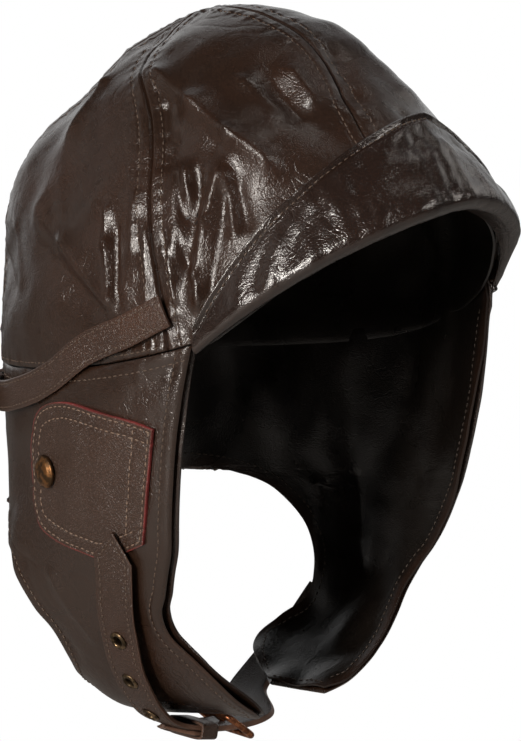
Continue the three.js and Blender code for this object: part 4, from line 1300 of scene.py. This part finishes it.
# Straps
class Line:
    """A smooth route with outward directions, read at shares of its length."""

    def __init__(self, stations, wall, width, middle=None):
        rest = CLEARANCE + width**2 / (8 * HALF_WIDTH) + wall / 2
        angle, row, lift = stations.T
        base = form_points(angle, row)
        self.outs = form_normals(angle, row)
        points = base + self.outs * (relief(base, angle, row) + lift + rest)[:, None]
        if middle is not None:
            self.outs[middle] = (0, 0, -1)
            low = base[middle] + form_normals(angle, row)[middle] * relief(base, angle, row)[middle]
            points[middle] = (0, 0, low[2] - lift[middle] - rest)
        self.count = len(points)
        self.turns = np.linspace(0, 1, 1600)
        self.fine = self.curve(points)
        self.run = np.concatenate([[0], np.cumsum(steps_of(self.fine))])
        self.length = self.run[-1]

    def curve(self, points):
        """A centripetal curve through the points."""
        ends = np.vstack([2 * points[0] - points[1], points, 2 * points[-1] - points[-2]])
        place = self.turns * (self.count - 1)
        index = np.minimum(place.astype(int), self.count - 2)
        share = (place - index)[:, None]
        before, start, end, after = (ends[index + k] for k in range(4))
        sides = (start - before, end - start, after - end)
        first, middle, last = (np.sqrt(np.linalg.norm(side, axis=1))[:, None] for side in sides)
        leave = (start - before) / first - (end - before) / (first + middle) + (end - start) / middle
        arrive = (end - start) / middle - (after - start) / (middle + last) + (after - end) / last
        leave, arrive = leave * middle, arrive * middle
        cube = 2 * start - 2 * end + leave + arrive
        square = 3 * end - 3 * start - 2 * leave - arrive
        return start + leave * share + square * share**2 + cube * share**3

    def read(self, place, values):
        return np.stack([np.interp(place, self.run, values[:, k]) for k in range(3)], -1)

    def at(self, share):
        """Points with their directions along, across and out."""
        place = np.clip(share, 0, 1) * self.length
        station = np.interp(place, self.run, self.turns) * (self.count - 1)
        index = np.minimum(station.astype(int), self.count - 2)
        lean = (station - index)[:, None]
        out = self.outs[index] * (1 - lean) + self.outs[index + 1] * lean
        along = unit(self.read(place, np.gradient(self.fine, axis=0)))
        across = unit(np.cross(out, along))
        return self.read(place, self.fine), along, across, np.cross(along, across)

    def basis(self, share, raised=0.0):
        point, along, across, out = (values[0] for values in self.at(np.array([share])))
        return point + out * raised, along, across, out


def dense(stations, count):
    at = np.linspace(0, len(stations) - 1, count + 1)
    return np.stack([between(stations[:, k], at) for k in range(3)], -1)


def strap_piece(name, line, width, wall, sizes, *, start=0.0, end=1.0, raised=0.0, tip=0.0, round_end=False,
                rows=BACK_STRAP_ROWS, holes=(), row_distance=STRAP_ROW, cross=()):
    """A flat strap along a line, with light cut edges and a stitch row inside each edge."""
    def half(share):
        run = (share - start) * line.length
        shape = np.clip(0.08 + 0.92 * run / tip, 0.08, 1) if tip else 1
        if round_end:
            shape = np.sqrt(np.clip(0.05 + 0.95 * run / (width / 2), 0.05, 1))
        return width / 2 * shape * np.ones_like(share)

    def surface(u, v):
        share = start + (end - start) * v
        point, _, across, out = line.at(share)
        side = 2 * eased(u, 0.4) - 1
        edge = (1 - np.abs(side)) * half(share)
        height = wall / 2 + raised + STRAP_CROWN * (1 - side**2)
        height = height - STRAP_DIP * bump(edge, row_distance, STRAP_DIP_WIDTH)
        height = height - STRAP_ROUND * np.maximum(0, 1 - edge / STRAP_ROUND_WIDTH) ** 2
        height = height + STRAP_WAVE * waves(point + side[:, None] * 9, STRAP_WAVE_LENGTH, STRAP_SEED)
        return point + across * (side * half(share))[:, None] + out * height[:, None]

    bm, _ = grid_mesh(STRAP_COLUMNS, rows, surface)
    for share in holes:
        centre = Vector(line.basis(share)[0]) * MM
        inside = [v for v in bm.verts if (v.co - centre).length < (EYELET_HOLE + 1.0) * MM]
        bmesh.ops.delete(bm, geom=inside, context="VERTS")
    run = np.linspace(0, 1, 400)
    share = start + (end - start) * (0.01 + 0.98 * run)
    reach = np.maximum(half(share) - row_distance, 0.2)
    lines = [(share, -reach), (share, reach)]
    for distance in cross:
        reach = np.linspace(-1, 1, 60) * (width / 2 - row_distance)
        lines.append((np.full(60, distance / line.length), reach))
    tree, stitches = BVHTree.FromBMesh(bm), bmesh.new()
    for share, reach in lines:
        point, _, across, out = line.at(share)
        stitch(stitches, point + across * reach[:, None] + out * (wall / 2 + raised), tree, sizes, share=0.66)
    new_object(stitches, f"{name}_stitches", ["thread"])
    positions = np.array([tuple(v.co) for v in bm.verts]) / MM
    rims = [surface(np.full(400, float(side)), run) for side in (0, 1)]
    edge = np.min([nearest(positions, rim)[0] for rim in rims], axis=0)
    finish_strap(bm, name, wall, edge + 0.3, 0.2)


def finish_strap(bm, name, wall, edge, round_edge):
    """Makes a sheet a piece of strap leather with its wall and light cut edges."""
    piece = new_object(bm, name, ["strap leather", "cut edge"], [name])
    store_edge(piece, edge)
    thicken(piece, wall, round_edge=round_edge, rim_look=1)


def keeper_piece(name, width, height, depth, point, across, plane):
    """A flat band bent round a strap: its window's width and height, and its depth."""
    wall = KEEPER_WALL
    normal = np.cross(across, plane)
    bm = bmesh.new()
    made = bmesh.ops.create_circle(bm, segments=48, radius=1)
    for vertex in made["verts"]:
        turn = math.atan2(vertex.co.y, vertex.co.x)
        box = (abs(math.cos(turn)) ** 5 + abs(math.sin(turn)) ** 5) ** -0.2
        x, y = box * math.cos(turn) * (width / 2 + wall), box * math.sin(turn) * (height / 2 + wall)
        vertex.co = (Vector(point) + Vector(across) * x + Vector(plane) * y - Vector(normal) * depth / 2) * MM
    edges = list(bm.edges)
    for _ in range(4):
        pulled = bmesh.ops.extrude_edge_only(bm, edges=edges)["geom"]
        corners = [item for item in pulled if isinstance(item, bmesh.types.BMVert)]
        edges = [item for item in pulled if isinstance(item, bmesh.types.BMEdge)
                 and all(v in corners for v in item.verts)]
        bmesh.ops.translate(bm, vec=Vector(normal) * depth / 4 * MM, verts=corners)
    bmesh.ops.recalc_face_normals(bm, faces=bm.faces)
    face_out(bm, Vector(point) * MM)
    finish_strap(bm, name, wall, 3, 0.3)


def bar_piece(name, points, radius, cyclic=False):
    """A round bar of the buckle along a path, made from a curve."""
    curve = bpy.data.curves.new(name, "CURVE")
    curve.dimensions = "3D"
    curve.bevel_depth = radius * MM
    curve.bevel_resolution = 6
    curve.use_fill_caps = True
    spline = curve.splines.new("POLY")
    spline.points.add(len(points) - 1)
    for knot, point in zip(spline.points, points):
        knot.co = (*(Vector(point) * MM), 1)
    spline.use_cyclic_u = cyclic
    holder = bpy.data.objects.new(name + "_path", curve)
    bpy.context.scene.collection.objects.link(holder)
    mesh = bpy.data.meshes.new_from_object(holder.evaluated_get(bpy.context.evaluated_depsgraph_get()))
    bpy.data.objects.remove(holder)
    bm = bmesh.new()
    bm.from_mesh(mesh)
    new_object(bm, name, ["buckle copper"], [name])


class HELMET_OT_back_strap(bpy.types.Operator):
    """Adjusting strap round the back with its keeper and tail"""

    bl_idname = "helmet.back_strap"
    bl_label = "Back strap"

    def execute(self, context):
        sizes = context.scene.helmet_sizes
        wall, width = BACK_STRAP_WALL, BACK_STRAP_WIDTH
        for name, stations, count in (("right", BACK_STRAP_RIGHT, 16), ("left", BACK_STRAP_LEFT, 32)):
            line = Line(dense(stations, count), wall, width)
            strap_piece(f"back_strap_{name}", line, width, wall, sizes, row_distance=BACK_STRAP_ROW,
                        cross=BACK_STRAP_CROSS_ROWS)
        point, along, _, out = line.basis(1)
        start = point - along * width / 2 + out * (wall + 3 * CLEARANCE)
        sideways = unit(np.cross(out, (0, 0, -1)))

        def tail(u, v):
            half = width * 0.4 * np.sqrt(np.clip((1 - v) * 6, 0.15, 1))
            down = v * BACK_TAIL_LENGTH - width / 2
            side = 2 * u - 1
            return (start + sideways * (side * half)[:, None] + np.array([0, 0, -1.0]) * down[:, None]
                    + out * (wall / 2 + 0.3 * (1 - side**2))[:, None])

        bm, _ = grid_mesh(*TAIL_GRID, tail)
        finish_strap(bm, "back_tail", wall, 3, 0.2)
        point, _, across, out = line.basis(BACK_KEEPER_SHARE)
        keeper_piece("back_keeper", width + 2 * CLEARANCE, wall + 2 * CLEARANCE, BACK_KEEPER_WIDTH,
                     point, across, out)
        return {"FINISHED"}


class HELMET_OT_chin_strap(bpy.types.Operator):
    """Chin strap with its eyelets, keeper, chape and buckle"""

    bl_idname = "helmet.chin_strap"
    bl_label = "Chin strap"

    def execute(self, context):
        sizes = context.scene.helmet_sizes
        wall, width = CHIN_STRAP_WALL, CHIN_STRAP_WIDTH
        line = Line(CHIN_STRAP_ROUTE, wall, width, CHIN_MIDDLE)
        strap_piece("chin_strap", line, width, wall, sizes, tip=CHIN_TIP_LENGTH, rows=CHIN_STRAP_ROWS,
                    holes=EYELET_SHARES)
        seat = wall / 2 + 0.25
        profile = ((EYELET_HOLE, -0.9), (EYELET_HOLE + 0.5, -0.9), (EYELET_HOLE + 0.55, seat - 0.1),
                   (EYELET_OUTER, seat - 0.05), (EYELET_OUTER, seat + 0.25),
                   (EYELET_OUTER - 0.5, seat + 0.62), (EYELET_OUTER - 1.0, seat + EYELET_FLANGE),
                   (EYELET_HOLE + 0.3, seat + 0.62), (EYELET_HOLE, seat + 0.2), (EYELET_HOLE, -0.9))
        for index, share in enumerate(EYELET_SHARES):
            point, _, across, out = line.basis(share)
            bm = turned_piece(profile, basis(point, across, np.cross(out, across), out))
            name = f"eyelet_{index + 1}"
            new_object(bm, name, ["antique brass"], [name])
        last = BUCKLE_SHARE - (BUCKLE_WINDOW * 0.75 + BUCKLE_BAR) / line.length
        strap_piece("chin_chape", line, width, CHAPE_WALL, sizes, start=last - CHAPE_LENGTH / line.length,
                    end=last, raised=wall / 2 + CLEARANCE + CHAPE_WALL / 2, round_end=True,
                    rows=CHAPE_ROWS)
        point, _, across, out = line.basis(CHIN_KEEPER_SHARE, (CHAPE_WALL + CLEARANCE) / 2)
        keeper_piece("chin_keeper", width + 2 * CLEARANCE, wall + CHAPE_WALL + 3 * CLEARANCE, KEEPER_WIDTH,
                     point, across, out)
        point, along, across, out = line.basis(BUCKLE_SHARE)
        tilt = math.radians(BUCKLE_TILT)
        plane = along * math.cos(tilt) + out * math.sin(tilt)
        wide = width / 2 + CLEARANCE + BUCKLE_BAR / 2
        tall = BUCKLE_WINDOW / 2 + BUCKLE_BAR / 2
        corner = BUCKLE_CORNER
        path = []
        for sign_x, sign_y, first in ((1, 1, 0), (-1, 1, 90), (-1, -1, 180), (1, -1, 270)):
            for step in range(7):
                turn = math.radians(first + 15 * step)
                x = sign_x * (wide - corner) + corner * math.cos(turn)
                y = sign_y * (tall - corner) + corner * math.sin(turn)
                path.append(point + across * x + plane * y)
        bar_piece("buckle_frame", path, BUCKLE_BAR / 2, cyclic=True)
        reach = BUCKLE_WINDOW / 2 - CLEARANCE
        pin = [point + plane * reach * t for t in np.linspace(-1, 1, 9)]
        bar_piece("buckle_prong", pin, PRONG_RADIUS)
        return {"FINISHED"}


# Stage
def area_light(name, place, aim, size, power):
    lamp = bpy.data.lights.new(name, "AREA")
    lamp.shape = "RECTANGLE"
    lamp.size, lamp.size_y = size
    lamp.energy = power
    lamp.color = LIGHT_COLOUR
    holder = bpy.data.objects.new(name, lamp)
    holder.location = place
    holder.rotation_euler = (Vector(aim) - Vector(place)).to_track_quat("-Z", "Y").to_euler()
    bpy.context.scene.collection.objects.link(holder)


def show_to_camera(tree, usual, seen, output):
    """Puts one shader out for light, and another for what the camera sees directly."""
    path = add_node(tree, "LightPath")
    mixed = add_node(tree, "MixShader", None, n0=path.outputs["Is Camera Ray"], n1=usual.outputs[0],
                     n2=seen.outputs[0])
    tree.links.new(mixed.outputs[0], output.inputs["Surface"])


class HELMET_OT_stage(bpy.types.Operator):
    """Pale floor, soft light and the photograph's view"""

    bl_idname = "helmet.stage"
    bl_label = "Stage"

    def execute(self, context):
        scene = context.scene
        scene.view_settings.view_transform = "Standard"
        look, tree, shader = new_look("pale floor")
        shader.inputs["Base Color"].default_value = (*scene.helmet_colours.floor, 1)
        shader.inputs["Roughness"].default_value = 0.9
        glow = add_node(tree, "Emission", None, Color=(1, 1, 1, 1), Strength=1.0)
        show_to_camera(tree, shader, glow, tree.nodes["Material Output"])
        bm = bmesh.new()
        bmesh.ops.create_grid(bm, x_segments=1, y_segments=1, size=FLOOR_HALF)
        bmesh.ops.translate(bm, vec=(0, 0, CAD_BOX[0][2] - FLOOR_BELOW), verts=bm.verts)
        mesh = bpy.data.meshes.new("floor")
        bm.to_mesh(mesh)
        bm.free()
        floor = bpy.data.objects.new("floor", mesh)
        mesh.materials.append(look)
        scene.collection.objects.link(floor)

        world = bpy.data.worlds.new("studio")
        scene.world = world
        world.use_nodes = True
        tree = world.node_tree
        bright = add_node(tree, "Background", None, Color=(1, 1, 1, 1), Strength=1.0)
        turn = math.radians(CAMERA_TURN)
        way = add_node(tree, "TexCoord").outputs["Generated"]
        behind = add_node(tree, "VectorMath", {"operation": "DOT_PRODUCT"}, n0=way,
                          n1=(-math.sin(turn), math.cos(turn), 0))
        backdrop = ramp(tree, behind.outputs["Value"], 0.55, 0.95)
        soft = add_node(tree, "Background", None, Color=(1, 1, 1, 1),
                        Strength=varied(tree, backdrop, 0.8, 0.05))
        show_to_camera(tree, soft, bright, tree.nodes["World Output"])

        for light in LIGHTS:
            area_light(*light)

        camera = bpy.data.cameras.new("photo view")
        camera.sensor_fit = "VERTICAL"
        camera.sensor_height = SENSOR_HEIGHT
        camera.lens = SENSOR_HEIGHT * FOCAL_PIXELS / IMAGE_HEIGHT
        camera.clip_start = 0.05
        holder = bpy.data.objects.new("photo view", camera)
        turn, height = math.radians(CAMERA_TURN), math.radians(CAMERA_HEIGHT)
        level = math.cos(height)
        back = Vector((math.sin(turn) * level, -math.cos(turn) * level, math.sin(height)))
        holder.location = Vector(CAMERA_AIM) + back * CAMERA_DISTANCE
        holder.rotation_euler = back.to_track_quat("Z", "Y").to_euler()
        scene.collection.objects.link(holder)
        scene.camera = holder
        return {"FINISHED"}


OPERATORS = (
    HELMET_OT_stage,
    HELMET_OT_crown,
    HELMET_OT_crown_lining,
    HELMET_OT_brim,
    HELMET_OT_flaps,
    HELMET_OT_ear_patches,
    HELMET_OT_back_strap,
    HELMET_OT_chin_strap,
)


class HELMET_PT_panel(bpy.types.Panel):
    bl_label = "Flying helmet"
    bl_idname = "HELMET_PT_panel"
    bl_space_type = "VIEW_3D"
    bl_region_type = "UI"
    bl_category = "Helmet"

    def draw(self, context):
        for group in (context.scene.helmet_sizes, context.scene.helmet_colours):
            for name in group.__annotations__:
                self.layout.prop(group, name)
        for operator in OPERATORS:
            self.layout.operator(operator.bl_idname)


CLASSES = (HelmetSizes, HelmetColours, *OPERATORS, HELMET_PT_panel)


def register():
    for one in CLASSES:
        bpy.utils.register_class(one)
    bpy.types.Scene.helmet_sizes = PointerProperty(type=HelmetSizes)
    bpy.types.Scene.helmet_colours = PointerProperty(type=HelmetColours)


def unregister():
    del bpy.types.Scene.helmet_colours
    del bpy.types.Scene.helmet_sizes
    for one in reversed(CLASSES):
        bpy.utils.unregister_class(one)


def main():
    register()
    make_looks(bpy.context.scene.helmet_colours)
    for operator in OPERATORS:
        group, name = operator.bl_idname.split(".")
        getattr(getattr(bpy.ops, group), name)()


if __name__ == "__main__":
    main()
